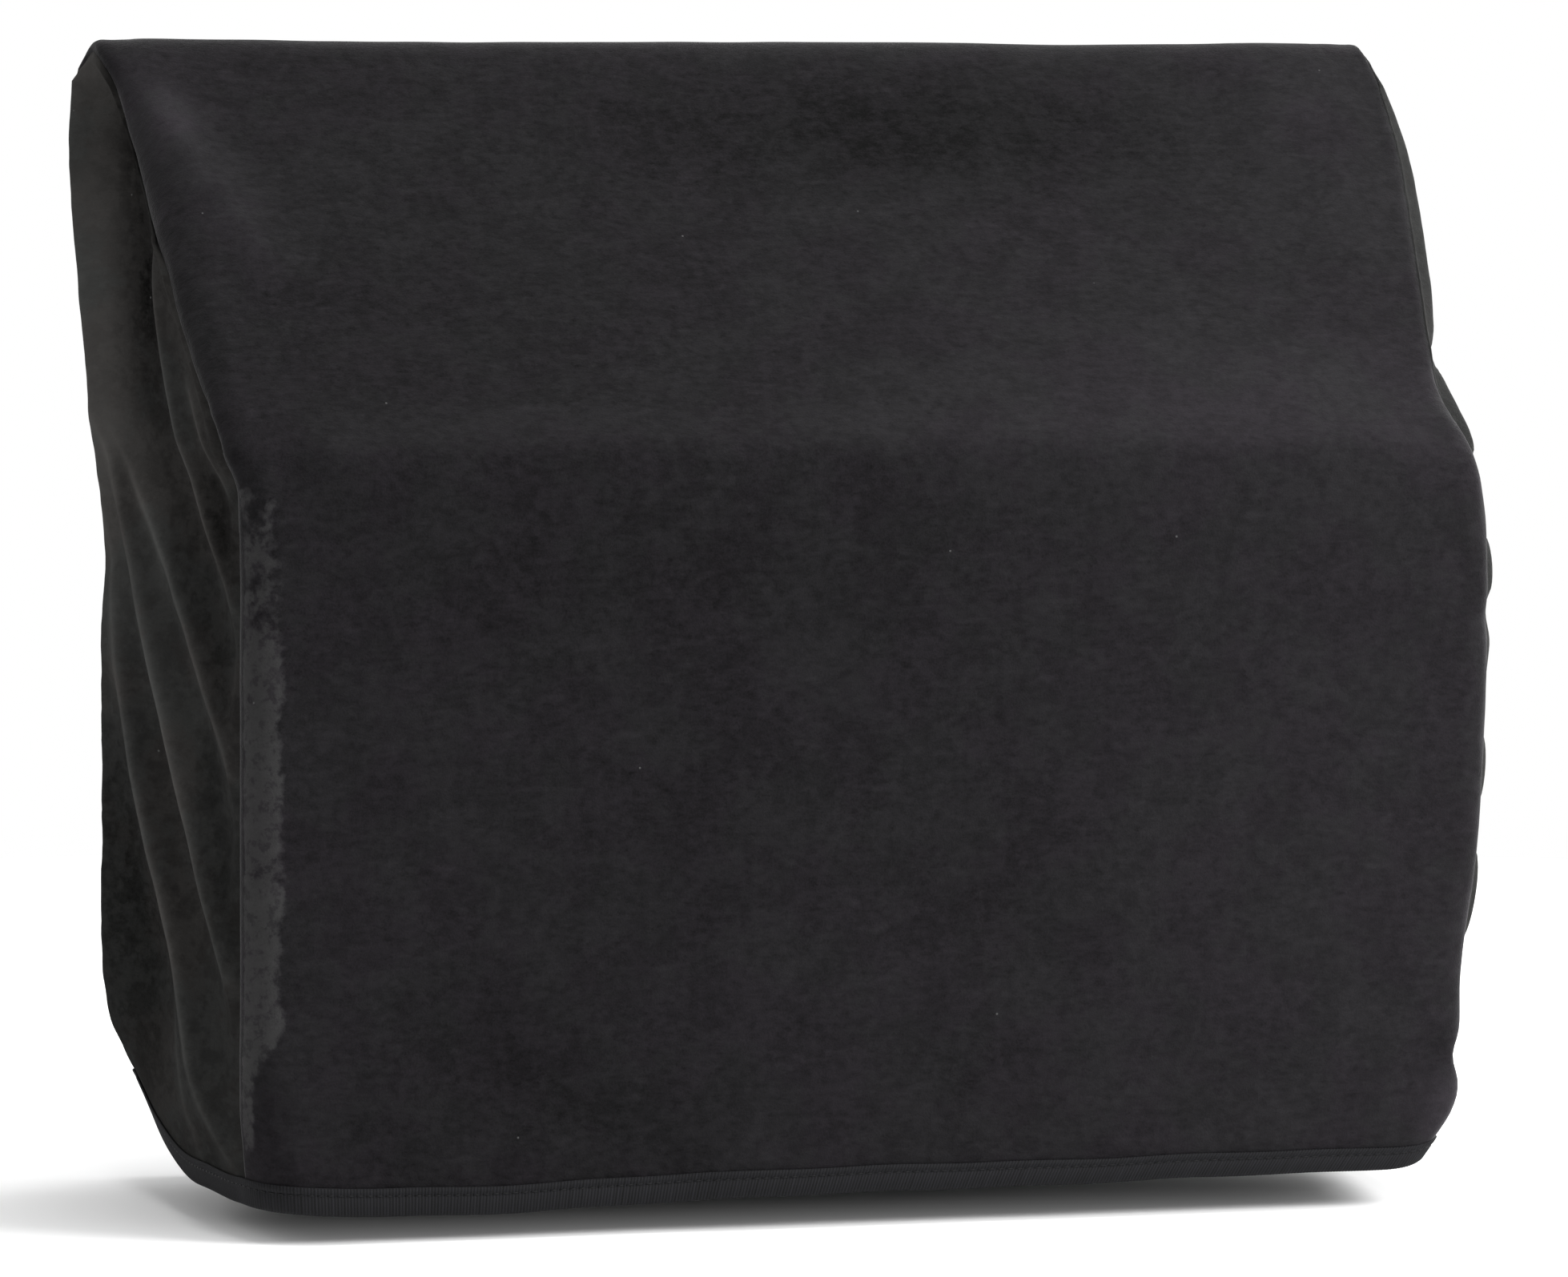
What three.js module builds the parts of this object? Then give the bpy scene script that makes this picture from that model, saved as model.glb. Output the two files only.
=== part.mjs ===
import * as THREE from 'three';

// Fitted velour dust cover, hollow and open at the bottom: one wrap panel that runs up the back,
// over the top and down the front, a gusset on either side, and a ribbon bound round the hem.
// Millimetres. X runs along the width, the front faces -Y and Z is up.

// Cloth and sewing
const CLOTH = 1.6;
const SEAM_GAP = 0.9;

// The wrap panel rolls round each side edge before it meets the gusset, more tightly along the top
// and more loosely at the left of the hem. On the right of the slope the seam comes early in the
// roll, so the gusset bulges out past it.
const ROLL_RADIUS = 13;
const TOP_ROLL_RADIUS = 7;
const TOP_ROLL_FROM = 370;
const HEM_ROLL_RADIUS = { left: 22, right: 16 };
const HEM_ROLL_TO = 80;
const ROLL_STEPS = 3;
const SEAM_TURN = 75;
const RIGHT_SLOPE_TURN = 30;
const SLOPE_TURN_FROM = 280;
const SLOPE_TURN_TO = 315;

// Binding: a ribbon folded round the hem, clear of the cloth by the gap. It stands the way the cloth
// runs over its first rows of points.
const RIBBON = 0.9;
const RIBBON_LEG = 9.5;
const RIBBON_GAP = 0.85;
const RIBBON_ROWS = 2;

// Top ridge, from its back corner to its front shoulder
const TOP_HEIGHT = 429.5;
const TOP_MIDDLE = 193;
const RIDGE = [
  { depth: 210, height: 424.5, left: 263.5, right: 254.5 },
  { depth: 198, height: TOP_HEIGHT, left: 262, right: 254.5 },
  { depth: 188, height: TOP_HEIGHT, left: 262, right: 254.5 },
  { depth: 176, height: 424.5, left: 260.5, right: 253.5 },
];

// Hem: raised at the back, a little along the front right and at its corner, dipping left of the
// middle of the front
const HEM_BACK_LIFT = 22;
const HEM_BACK_LIFT_FROM = 75;
const HEM_BACK_LIFT_TO = 212;
const HEM_FRONT_DEPTH = 130;
const HEM_RIGHT_LIFT = 1.2;
const HEM_RIGHT_FROM = 60;
const HEM_RIGHT_TO = 150;
const HEM_CORNER_LIFT = 2.5;
const HEM_CORNER_FROM = 205;
const HEM_CORNER_TO = 225;
const HEM_DIP = 3;
const HEM_DIP_X = -137;
const HEM_DIP_SPREAD = 70;
const HEM_FADE_HEIGHT = 110;

// Level sections from hem to shoulder. front and back are depths of the outer face from the front
// plane; the four edge columns are distances from the centre plane out to each seam.
const SECTIONS = [
  { height: 0, front: 4, back: 211, frontLeft: 233, frontRight: 219.5, backLeft: 242, backRight: 230 },
  { height: 18, front: 2.5, back: 212.7, frontLeft: 235.2, frontRight: 231.5, backLeft: 250.5, backRight: 235.5 },
  { height: 36, front: 1.5, back: 214, frontLeft: 236.8, frontRight: 234.5, backLeft: 256, backRight: 239 },
  { height: 75, front: 0, back: 215, frontLeft: 237, frontRight: 234, backLeft: 258, backRight: 245 },
  { height: 125, front: -0.5, back: 215, frontLeft: 237, frontRight: 240.3, backLeft: 257.5, backRight: 248 },
  { height: 190, front: 0, back: 215, frontLeft: 236.6, frontRight: 243.7, backLeft: 257, backRight: 250 },
  { height: 236, front: 0, back: 215, frontLeft: 236.4, frontRight: 243.5, backLeft: 253.5, backRight: 251 },
  { height: 267, front: 0.5, back: 215, frontLeft: 238.5, frontRight: 241, backLeft: 253, backRight: 251 },
  { height: 282, front: 7, back: 215, frontLeft: 243, frontRight: 239, backLeft: 253.5, backRight: 251 },
  { height: 306, front: 35, back: 215, frontLeft: 246, frontRight: 233, backLeft: 255, backRight: 252 },
  { height: 340, front: 77, back: 215, frontLeft: 249, frontRight: 240.5, backLeft: 258.5, backRight: 254 },
  { height: 384, front: 130, back: 215, frontLeft: 250, frontRight: 251.5, backLeft: 264, backRight: 256 },
  { height: 413, front: 162, back: 215, frontLeft: 255.5, frontRight: 253.5, backLeft: 265.5, backRight: 256 },
];
const STEPS_PER_SECTION = 3;
const STEPS_PER_RIDGE_ROW = 4;
const WRAP_COLUMNS = 18;
const EDGE_TENSION = 0.5;

// Folds follow a bent crest line through three places. Each place is the depth from the front plane
// (on the gussets) or the distance from the centre plane (front and back), then the height from the
// hem. rise is how far the crest stands proud, negative for a trough, spread how far it runs out, and
// fade how early it dies away towards its ends, from 0 for not at all.
const CREST_ROUND = 5;
const CREST_STEPS = 10;
const LEFT_FOLDS = [
  { from: [208, 284], bend: [108, 158], to: [12, 72], rise: 12, spread: 14, fade: 0.6 },
  { from: [192, 284], bend: [105, 222], to: [10, 148], rise: 9.5, spread: 13, fade: 0.6 },
  { from: [196, 245], bend: [144, 112], to: [24, 6], rise: 11, spread: 14, fade: 0.6 },
  { from: [126, 354], bend: [88, 275], to: [15, 211], rise: 9, spread: 12, fade: 0.6 },
  { from: [202, 424], bend: [206, 330], to: [190, 226], rise: 9, spread: 15, fade: 0.4 },
  { from: [78, 304], bend: [46, 282], to: [18, 258], rise: 3.5, spread: 7, fade: 0.5 },
];
const RIGHT_FOLDS = [
  { from: [196, 395], bend: [180, 190], to: [40, 60], rise: 6, spread: 18, fade: 0.4 },
  { from: [140, 352], bend: [90, 240], to: [0, 190], rise: 5, spread: 16, fade: 0.4 },
  { from: [200, 190], bend: [180, 90], to: [120, 0], rise: 5, spread: 18, fade: 0.4 },
  { from: [58, 309], bend: [104, 346], to: [176, 408], rise: 9, spread: 9, fade: 0.3 },
];
const FRONT_FOLDS = [
  { from: [-188, 76], bend: [-130, 36], to: [-58, 10], rise: -4.5, spread: 22, fade: 0.4 },
  { from: [-208, 36], bend: [-188, 22], to: [-160, 12], rise: -2.5, spread: 14, fade: 0.4 },
  { from: [-124, 124], bend: [-92, 108], to: [-60, 90], rise: -2, spread: 24, fade: 0.6 },
  { from: [-4, 120], bend: [45, 106], to: [92, 88], rise: -2.2, spread: 26, fade: 0.6 },
  { from: [-4, 66], bend: [34, 45], to: [66, 20], rise: -2.2, spread: 22, fade: 0.6 },
  { from: [-258, 424], bend: [-246, 392], to: [-212, 334], rise: 4.5, spread: 9, fade: 0.5 },
  { from: [240, 414], bend: [215, 404], to: [186, 390], rise: 2, spread: 10, fade: 0.5 },
];
const BACK_FOLDS = [
  { from: [-150, 330], bend: [-60, 190], to: [10, 60], rise: -3, spread: 40, fade: 0.6 },
  { from: [180, 300], bend: [120, 170], to: [90, 50], rise: -3, spread: 40, fade: 0.6 },
];

// Slack of the gussets: hollow between their seams, pushed out along the hem
const GUSSET_HOLLOW = { left: 8, right: 3 };
const GUSSET_HEM_BULGE = { left: 6, right: 5 };
const GUSSET_HEM_BULGE_HEIGHT = 90;
const EDGE_HOLD = 16;
// The bound hem keeps the folds above it from running right through
const HEM_CALM_FROM = -12;
const HEM_CALM_TO = 50;
const CROWN_FADE_POWER = 6;

const { smoothstep, lerp, degToRad } = THREE.MathUtils;
const vector = (x, y, z) => new THREE.Vector3(x, y, z);

// Crest lines of a fold table, sampled once
function withCrests(folds) {
  return folds.map((fold) => {
    const ends = [fold.from, fold.bend, fold.to].map(([a, b]) => new THREE.Vector2(a, b));
    const crest = new THREE.QuadraticBezierCurve(...ends).getPoints(CREST_STEPS);
    return { ...fold, crest };
  });
}

// Distance from a point to a segment, and the share of the segment that lies before the nearest place
function nearestOnSegment(point, start, end) {
  const along = end.clone().sub(start);
  const part = point.clone().sub(start).dot(along) / along.lengthSq();
  const share = THREE.MathUtils.clamp(part, 0, 1);
  const distance = start.clone().addScaledVector(along, share).distanceTo(point);
  return { distance, share };
}

// Height of the folds at one place: a rounded crest whose flanks run out like hanging cloth.
// The cubes let the nearest fold lead where several meet, so they don't pile up.
function foldRise(folds, across, height) {
  const point = new THREE.Vector2(across, height);
  let total = 0;
  for (const fold of folds) {
    let distance = Infinity;
    let place = 0;
    for (let i = 1; i < fold.crest.length; i++) {
      const found = nearestOnSegment(point, fold.crest[i - 1], fold.crest[i]);
      if (found.distance < distance) {
        distance = found.distance;
        place = (i - 1 + found.share) / CREST_STEPS;
      }
    }
    const away = Math.hypot(distance, CREST_ROUND) - CREST_ROUND;
    const fullness = Math.max(Math.sin(Math.PI * place), 0) ** fold.fade;
    total += (fold.rise * fullness * Math.exp(-away / fold.spread)) ** 3;
  }
  return Math.cbrt(total);
}

// How far the hem is lifted at a place, fading out up the cloth
function hemLift({ x, y: depth, z: height }) {
  const back = HEM_BACK_LIFT * smoothstep(depth, HEM_BACK_LIFT_FROM, HEM_BACK_LIFT_TO);
  const isFront = 1 - smoothstep(depth, 0, HEM_FRONT_DEPTH);
  const rightSide = HEM_RIGHT_LIFT * smoothstep(x, HEM_RIGHT_FROM, HEM_RIGHT_TO);
  const corner = HEM_CORNER_LIFT * smoothstep(x, HEM_CORNER_FROM, HEM_CORNER_TO);
  const dip = HEM_DIP * Math.exp(-(((x - HEM_DIP_X) / HEM_DIP_SPREAD) ** 2));
  const fade = 1 - smoothstep(height, 0, HEM_FADE_HEIGHT);
  return (back + isFront * (rightSide + corner - dip)) * fade;
}

// Stations of the wrap panel, from the back hem over the top to the front hem
const backRun = SECTIONS.map((row) => ({
  depth: row.back, height: row.height, left: row.backLeft, right: row.backRight,
}));
const frontRun = SECTIONS.map((row) => ({
  depth: row.front, height: row.height, left: row.frontLeft, right: row.frontRight,
})).reverse();
const wrapRows = [...backRun, ...RIDGE, ...frontRun];
const gussetRows = (SECTIONS.length - 1) * STEPS_PER_SECTION;
const gussetColumns = (RIDGE.length + 1) * STEPS_PER_RIDGE_ROW;
const stationCount = gussetRows + gussetColumns + gussetRows;

// Place of a station along the rows, as a share of the whole run
function stationPlace(station) {
  const back = Math.min(station, gussetRows);
  const top = THREE.MathUtils.clamp(station - gussetRows, 0, gussetColumns);
  const front = Math.max(station - gussetRows - gussetColumns, 0);
  const rows = (back + front) / STEPS_PER_SECTION + top / STEPS_PER_RIDGE_ROW;
  return rows / (wrapRows.length - 1);
}

function edgeCurve(column) {
  const points = wrapRows.map((row) => vector(row[column], row.depth, row.height));
  return new THREE.CatmullRomCurve3(points, false, 'catmullrom', EDGE_TENSION);
}
const leftEdge = edgeCurve('left');
const rightEdge = edgeCurve('right');

// Roll at one edge of a station: its radius, and the turns of its points from the seam inwards
function rollAt(side, height, frontShare) {
  const topShare = smoothstep(height, TOP_ROLL_FROM, TOP_HEIGHT);
  const hemShare = 1 - smoothstep(height, 0, HEM_ROLL_TO);
  const upper = lerp(ROLL_RADIUS, TOP_ROLL_RADIUS, topShare);
  const radius = lerp(upper, HEM_ROLL_RADIUS[side], hemShare);
  const slopeShare = frontShare * smoothstep(height, SLOPE_TURN_FROM, SLOPE_TURN_TO);
  const seamTurn = side === 'right' ? lerp(SEAM_TURN, RIGHT_SLOPE_TURN, slopeShare) : SEAM_TURN;
  const turns = [];
  for (let step = ROLL_STEPS; step >= 0; step--) turns.push(degToRad(seamTurn * step / ROLL_STEPS));
  return { radius, turns, reach: radius * Math.sin(turns[0]) };
}

// Wrap panel: flat across its middle, rolled down at both edges, with the folds of its face
const frontFolds = withCrests(FRONT_FOLDS);
const backFolds = withCrests(BACK_FOLDS);

function wrapStation(station) {
  const t = stationPlace(station);
  const left = leftEdge.getPoint(t);
  const right = rightEdge.getPoint(t);
  const tangent = leftEdge.getTangent(t);
  const outward = vector(0, tangent.z, -tangent.y).normalize();
  const frontShare = smoothstep(station, gussetRows, gussetRows + gussetColumns);
  const folds = station < gussetRows + gussetColumns / 2 ? backFolds : frontFolds;
  const leftRoll = rollAt('left', left.z, frontShare);
  const rightRoll = rollAt('right', right.z, frontShare);
  const flatLeft = leftRoll.reach - left.x;
  const flatRight = right.x - rightRoll.reach;

  const place = (x, drop) => {
    const hold = smoothstep(Math.min(x + left.x, right.x - x), 0, EDGE_HOLD);
    const rise = hold * foldRise(folds, x, left.z);
    return vector(x, left.y, left.z).addScaledVector(outward, rise - drop);
  };
  const rolled = ({ radius, turns }, from, side) => turns.map((angle) => (
    place(from + side * radius * Math.sin(angle), radius * (1 - Math.cos(angle)))
  ));
  const middle = [];
  for (let i = 1; i < WRAP_COLUMNS; i++) {
    middle.push(place(lerp(flatLeft, flatRight, i / WRAP_COLUMNS), 0));
  }
  return [...rolled(leftRoll, flatLeft, -1), ...middle, ...rolled(rightRoll, flatRight, 1).reverse()];
}

const wrapPoints = [];
for (let station = 0; station <= stationCount; station++) {
  wrapPoints.push(wrapStation(station));
}
const lastColumn = wrapPoints[0].length - 1;

// Gusset: hung between the seams of the wrap, row by row from the hem to the top
function gussetPoints(side) {
  const name = side < 0 ? 'left' : 'right';
  const edge = side < 0 ? 0 : lastColumn;
  const folds = withCrests(side < 0 ? LEFT_FOLDS : RIGHT_FOLDS);
  const seam = (station) => wrapPoints[station][edge];
  const topEdge = (column) => seam(gussetRows + gussetColumns - column);
  const topFront = seam(gussetRows + gussetColumns);
  const topBack = seam(gussetRows);

  const rows = [];
  for (let row = 0; row <= gussetRows; row++) {
    const front = seam(stationCount - row);
    const back = seam(row);
    const crownFade = (row / gussetRows) ** CROWN_FADE_POWER;
    const width = front.distanceTo(back);
    const points = [];
    for (let column = 0; column <= gussetColumns; column++) {
      const t = column / gussetColumns;
      const point = front.clone().lerp(back, t);
      const crown = topEdge(column).clone().sub(topFront.clone().lerp(topBack, t));
      point.addScaledVector(crown, crownFade);
      const toEdge = Math.min(t * width, (1 - t) * width, topFront.z - front.z);
      const hold = smoothstep(toEdge, 0, EDGE_HOLD);
      const arch = Math.sin(Math.PI * t);
      const hemFade = 1 - smoothstep(point.z, 0, GUSSET_HEM_BULGE_HEIGHT);
      const calm = smoothstep(point.z, HEM_CALM_FROM, HEM_CALM_TO);
      point.z += hemLift(point);
      const hollow = GUSSET_HOLLOW[name] * (1 - hemFade);
      const slack = arch * (GUSSET_HEM_BULGE[name] * hemFade - hollow);
      point.x += side * hold * (slack + calm * foldRise(folds, point.y, point.z));
      points.push(point);
    }
    rows.push(points);
  }
  return rows;
}

// Outward normals of a grid of points; turn is 1 or -1 so that they point out of the cover
function gridNormals(points, turn) {
  const rows = points.length - 1;
  const columns = points[0].length - 1;
  return points.map((line, row) => line.map((_, column) => {
    const up = points[Math.min(row + 1, rows)][column].clone();
    up.sub(points[Math.max(row - 1, 0)][column]);
    const across = line[Math.min(column + 1, columns)].clone();
    across.sub(line[Math.max(column - 1, 0)]);
    return up.cross(across).multiplyScalar(turn).normalize();
  }));
}

const WRAP_TURN = 1;
const gussetTurn = (side) => (side < 0 ? 1 : -1);
const gussets = [-1, 1].map((side) => {
  const points = gussetPoints(side);
  const turn = gussetTurn(side);
  return { points, normals: gridNormals(points, turn), turn, side };
});
for (const point of wrapPoints.flat()) point.z += hemLift(point);
const wrap = { points: wrapPoints, normals: gridNormals(wrapPoints, WRAP_TURN), turn: WRAP_TURN };

// Both panels of a seam share one normal along it, so their edges face each other squarely
function shareNormals(gusset) {
  const edge = gusset.side < 0 ? 0 : lastColumn;
  const share = (station, row, column) => {
    const insideRow = Math.min(row, gussetRows - 1);
    const insideColumn = THREE.MathUtils.clamp(column, 1, gussetColumns - 1);
    const inside = gusset.normals[insideRow][insideColumn];
    const shared = wrap.normals[station][edge].clone().add(inside).normalize();
    wrap.normals[station][edge].copy(shared);
    gusset.normals[row][column].copy(shared);
  };
  for (let row = 0; row <= gussetRows; row++) {
    share(stationCount - row, row, 0);
    share(row, row, gussetColumns);
  }
  for (let column = 1; column < gussetColumns; column++) {
    share(gussetRows + gussetColumns - column, gussetRows, column);
  }
}

// Draws the edges of each panel back from its seams by half the gap
function openSeams(panel, edges) {
  const moved = edges.map(([row, column, towardRow, towardColumn]) => {
    const inward = panel.points[towardRow][towardColumn].clone().sub(panel.points[row][column]);
    return inward.setLength(SEAM_GAP / 2);
  });
  edges.forEach(([row, column], i) => panel.points[row][column].add(moved[i]));
}

gussets.forEach(shareNormals);
const wrapEdges = wrap.points.flatMap((_, station) => [
  [station, 0, station, 1],
  [station, lastColumn, station, lastColumn - 1],
]);
openSeams(wrap, wrapEdges);
for (const gusset of gussets) {
  const edges = [];
  for (let row = 0; row < gussetRows; row++) {
    edges.push([row, 0, row, 1], [row, gussetColumns, row, gussetColumns - 1]);
  }
  for (let column = 0; column <= gussetColumns; column++) {
    const inward = THREE.MathUtils.clamp(column, 1, gussetColumns - 1);
    edges.push([gussetRows, column, gussetRows - 1, inward]);
  }
  openSeams(gusset, edges);
}

// A closed geometry from a list of points and a list of quads whose corners turn to face out
function quadGeometry(points, quads) {
  const geometry = new THREE.BufferGeometry().setFromPoints(points);
  geometry.setIndex(quads.flatMap(([a, b, c, d]) => [a, b, c, a, c, d]));
  geometry.computeVertexNormals();
  return geometry;
}

// Sheet of cloth: the outer grid, the same grid set in by the thickness, and a rim between them
function sheetGeometry({ points, normals, turn }) {
  const rows = points.length - 1;
  const columns = points[0].length - 1;
  const outer = points.flat();
  const inner = outer.map((point, i) => point.clone().addScaledVector(normals.flat()[i], -CLOTH));
  const outerAt = (row, column) => row * (columns + 1) + column;
  const innerAt = (row, column) => outer.length + outerAt(row, column);
  const facing = (quad) => (turn > 0 ? quad : [...quad].reverse());

  const quads = [];
  for (let row = 0; row < rows; row++) {
    for (let column = 0; column < columns; column++) {
      const corners = [[row, column], [row + 1, column], [row + 1, column + 1], [row, column + 1]];
      quads.push(facing(corners.map(([r, c]) => outerAt(r, c))));
      quads.push(facing(corners.map(([r, c]) => innerAt(r, c)).reverse()));
    }
  }
  const rim = [];
  for (let row = 0; row < rows; row++) rim.push([row, 0]);
  for (let column = 0; column < columns; column++) rim.push([rows, column]);
  for (let row = rows; row > 0; row--) rim.push([row, columns]);
  for (let column = columns; column > 0; column--) rim.push([0, column]);
  rim.forEach((here, i) => {
    const next = rim[(i + 1) % rim.length];
    quads.push(facing([outerAt(...next), outerAt(...here), innerAt(...here), innerAt(...next)]));
  });
  return quadGeometry([...outer, ...inner], quads);
}

// Binding: a U section carried round the hem on the cloth's own edge points
function hemStations() {
  const [left, right] = gussets;
  const station = (panel, row, rowsUp, column) => ({
    edge: panel.points[row][column],
    above: panel.points[row + rowsUp][column],
    edgeNormal: panel.normals[row][column],
    aboveNormal: panel.normals[row + rowsUp][column],
  });
  const loop = [];
  for (let c = 0; c <= lastColumn; c++) loop.push(station(wrap, stationCount, -RIBBON_ROWS, c));
  for (let c = 1; c < gussetColumns; c++) loop.push(station(right, 0, RIBBON_ROWS, c));
  for (let c = lastColumn; c >= 0; c--) loop.push(station(wrap, 0, RIBBON_ROWS, c));
  for (let c = gussetColumns - 1; c > 0; c--) loop.push(station(left, 0, RIBBON_ROWS, c));
  return loop;
}

function bindingSection({ edge, above, edgeNormal, aboveNormal }) {
  const up = above.clone().sub(edge);
  const part = RIBBON_LEG / up.length();
  const legNormal = edgeNormal.clone().lerp(aboveNormal, part).normalize();
  const legTop = edge.clone().lerp(above, part);
  up.normalize();
  const outside = RIBBON_GAP + RIBBON;
  const top = (offset) => legTop.clone().addScaledVector(legNormal, offset);
  const bottom = (offset, below) => (
    edge.clone().addScaledVector(edgeNormal, offset).addScaledVector(up, -below)
  );
  return [
    top(outside),
    bottom(outside, outside),
    bottom(-CLOTH - outside, outside),
    top(-CLOTH - outside),
    top(-CLOTH - RIBBON_GAP),
    bottom(-CLOTH - RIBBON_GAP, RIBBON_GAP),
    bottom(RIBBON_GAP, RIBBON_GAP),
    top(RIBBON_GAP),
  ];
}

function bindingGeometry() {
  const sections = hemStations().map(bindingSection);
  const corners = sections[0].length;
  const at = (section, corner) => (section % sections.length) * corners + (corner % corners);
  const quads = [];
  for (let section = 0; section < sections.length; section++) {
    for (let corner = 0; corner < corners; corner++) {
      quads.push([
        at(section, corner + 1),
        at(section + 1, corner + 1),
        at(section + 1, corner),
        at(section, corner),
      ]);
    }
  }
  return quadGeometry(sections.flat(), quads);
}

const velour = () => new THREE.MeshStandardMaterial({ color: 0x232226, roughness: 0.95, metalness: 0 });
const ribbon = () => new THREE.MeshStandardMaterial({ color: 0x24242a, roughness: 0.7, metalness: 0 });

function named(name, geometry, material) {
  const mesh = new THREE.Mesh(geometry, material);
  mesh.name = name;
  return mesh;
}

const cover = new THREE.Group();
cover.add(named('wrap_panel', sheetGeometry(wrap), velour()));
cover.add(named('left_side_panel', sheetGeometry(gussets[0]), velour()));
cover.add(named('right_side_panel', sheetGeometry(gussets[1]), velour()));
cover.add(named('hem_binding', bindingGeometry(), ribbon()));

// The origin is under the middle of the top ridge, where the cover bears on what it is drawn over
cover.position.set(0, -TOP_MIDDLE, CLOTH - TOP_HEIGHT);

const part = new THREE.Group();
part.add(cover);

export default part;
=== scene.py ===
# %% Load the frame
import math

import bmesh
import bpy
import numpy as np
from mathutils import Matrix, Vector, noise


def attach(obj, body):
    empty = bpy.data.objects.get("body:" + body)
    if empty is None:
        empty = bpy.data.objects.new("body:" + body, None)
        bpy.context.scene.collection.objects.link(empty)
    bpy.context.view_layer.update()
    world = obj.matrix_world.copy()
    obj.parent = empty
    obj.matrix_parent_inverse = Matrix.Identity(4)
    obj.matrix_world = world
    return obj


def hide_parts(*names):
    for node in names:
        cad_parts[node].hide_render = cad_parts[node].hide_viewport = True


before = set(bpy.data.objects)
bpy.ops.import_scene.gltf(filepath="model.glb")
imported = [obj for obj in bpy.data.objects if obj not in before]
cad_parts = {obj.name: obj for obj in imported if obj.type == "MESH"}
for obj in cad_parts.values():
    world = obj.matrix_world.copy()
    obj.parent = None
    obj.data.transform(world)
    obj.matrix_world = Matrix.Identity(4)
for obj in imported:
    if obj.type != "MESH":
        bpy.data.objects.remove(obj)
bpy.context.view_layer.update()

# %% [markdown]
# ## Camera
# A long lens flattens the cover, as in a catalogue picture, so its top and its hem run nearly level.
# The camera stands a little to the left of the front and looks slightly down. It could be aimed with
# a Track To constraint, but three plain angles say the same and are easy to change.

# %% Camera
IMAGE_WIDTH = 1958
FOCAL_PIXELS = 9333
SENSOR_WIDTH = 36
LOOK_DOWN = 3.51
TURN_TO_RIGHT = 14.5
CAMERA_PLACE = (-0.7258, -2.8637, -0.0521)
FARTHEST_SEEN = 200


def placed(name, data):
    """A new object with this data, in the scene."""
    made = bpy.data.objects.new(name, data)
    bpy.context.scene.collection.objects.link(made)
    return made


camera_data = bpy.data.cameras.new("camera")
camera_data.sensor_width = SENSOR_WIDTH
camera_data.lens = FOCAL_PIXELS / IMAGE_WIDTH * SENSOR_WIDTH
camera_data.clip_end = FARTHEST_SEEN
camera = placed("camera", camera_data)
camera.location = CAMERA_PLACE
camera.rotation_euler = (math.radians(90 - LOOK_DOWN), 0, math.radians(-TURN_TO_RIGHT))
bpy.context.scene.camera = camera
print("lens", round(camera_data.lens, 1), "mm")

# %% [markdown]
# ## Sizes and sections
# The cover is described by level sections: how far the cloth lies from the front plane, and how far
# out the seams are on either side. A spreadsheet-like table is easier to correct than a mesh, because
# one number moves a whole region smoothly. Everything here is in millimetres, with the front plane at
# depth 0 and the front hem at height 0; the last step turns it into metres.

# %% Sections
MM = 0.001
CLOTH = 1.6
TOP_HEIGHT = 429.5
TOP_MIDDLE = 193.0


def table(columns, *rows):
    """Named columns from rows of numbers."""
    return dict(zip(columns.split(), np.array(rows, float).T))


SECTIONS = table(
    "height front back front_left front_right back_left back_right",
    (0, 4, 211, 233, 219.5, 242, 230),
    (18, 2.5, 212.7, 235.2, 231.5, 250.5, 235.5),
    (36, 1.5, 214, 236.8, 234.5, 256, 239),
    (75, 0, 215, 237, 234, 258, 245),
    (125, -0.5, 215, 237, 240.3, 257.5, 248),
    (190, 0, 215, 236.6, 243.7, 257, 250),
    (236, 0, 215, 236.4, 243.5, 253.5, 251),
    (264, 0, 215, 238.2, 241.5, 253, 251),
    (274.5, 0.6, 215, 240.5, 240.3, 253.3, 251),
    (280, 3.6, 215, 242.5, 239.5, 253.5, 251),
    (286, 10.6, 215, 244, 238.3, 254, 251.5),
    (306, 35.5, 215, 246, 233, 255, 252),
    (340, 77, 215, 249, 240.5, 258.5, 254),
    (384, 130, 215, 250, 251.5, 264, 256),
    (413, 162, 215, 255.5, 253.5, 265.5, 256),
)
RIDGE = table(
    "depth height left right",
    (210, 424.5, 263.5, 254.5),
    (198, TOP_HEIGHT, 262, 254.5),
    (188, TOP_HEIGHT, 262, 254.5),
    (176, 424.5, 260.5, 253.5),
)
section_count = len(SECTIONS["height"])
ridge_count = len(RIDGE["depth"])
print(section_count, "sections and", ridge_count, "ridge rows")

# %% [markdown]
# ## The seam lines
# The wrap panel is one strip that starts at the back hem, goes over the top and ends at the front hem.
# Its two long edges are the seams. A smooth curve through the table's rows gives them; a Bezier curve
# object would do too, but a formula can be asked for any place along the strip.

# %% Seam lines
back_run = [SECTIONS[c] for c in ("back_left", "back_right", "back", "height")]
ridge_run = [RIDGE[c] for c in ("left", "right", "depth", "height")]
front_run = [SECTIONS[c][::-1] for c in ("front_left", "front_right", "front", "height")]
strip_rows = np.concatenate([np.array(run).T for run in (back_run, ridge_run, front_run)])
LAST_ROW = len(strip_rows) - 1
TOP_ROWS = ridge_count + 1
PLACE_COUNT = 4001


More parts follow.
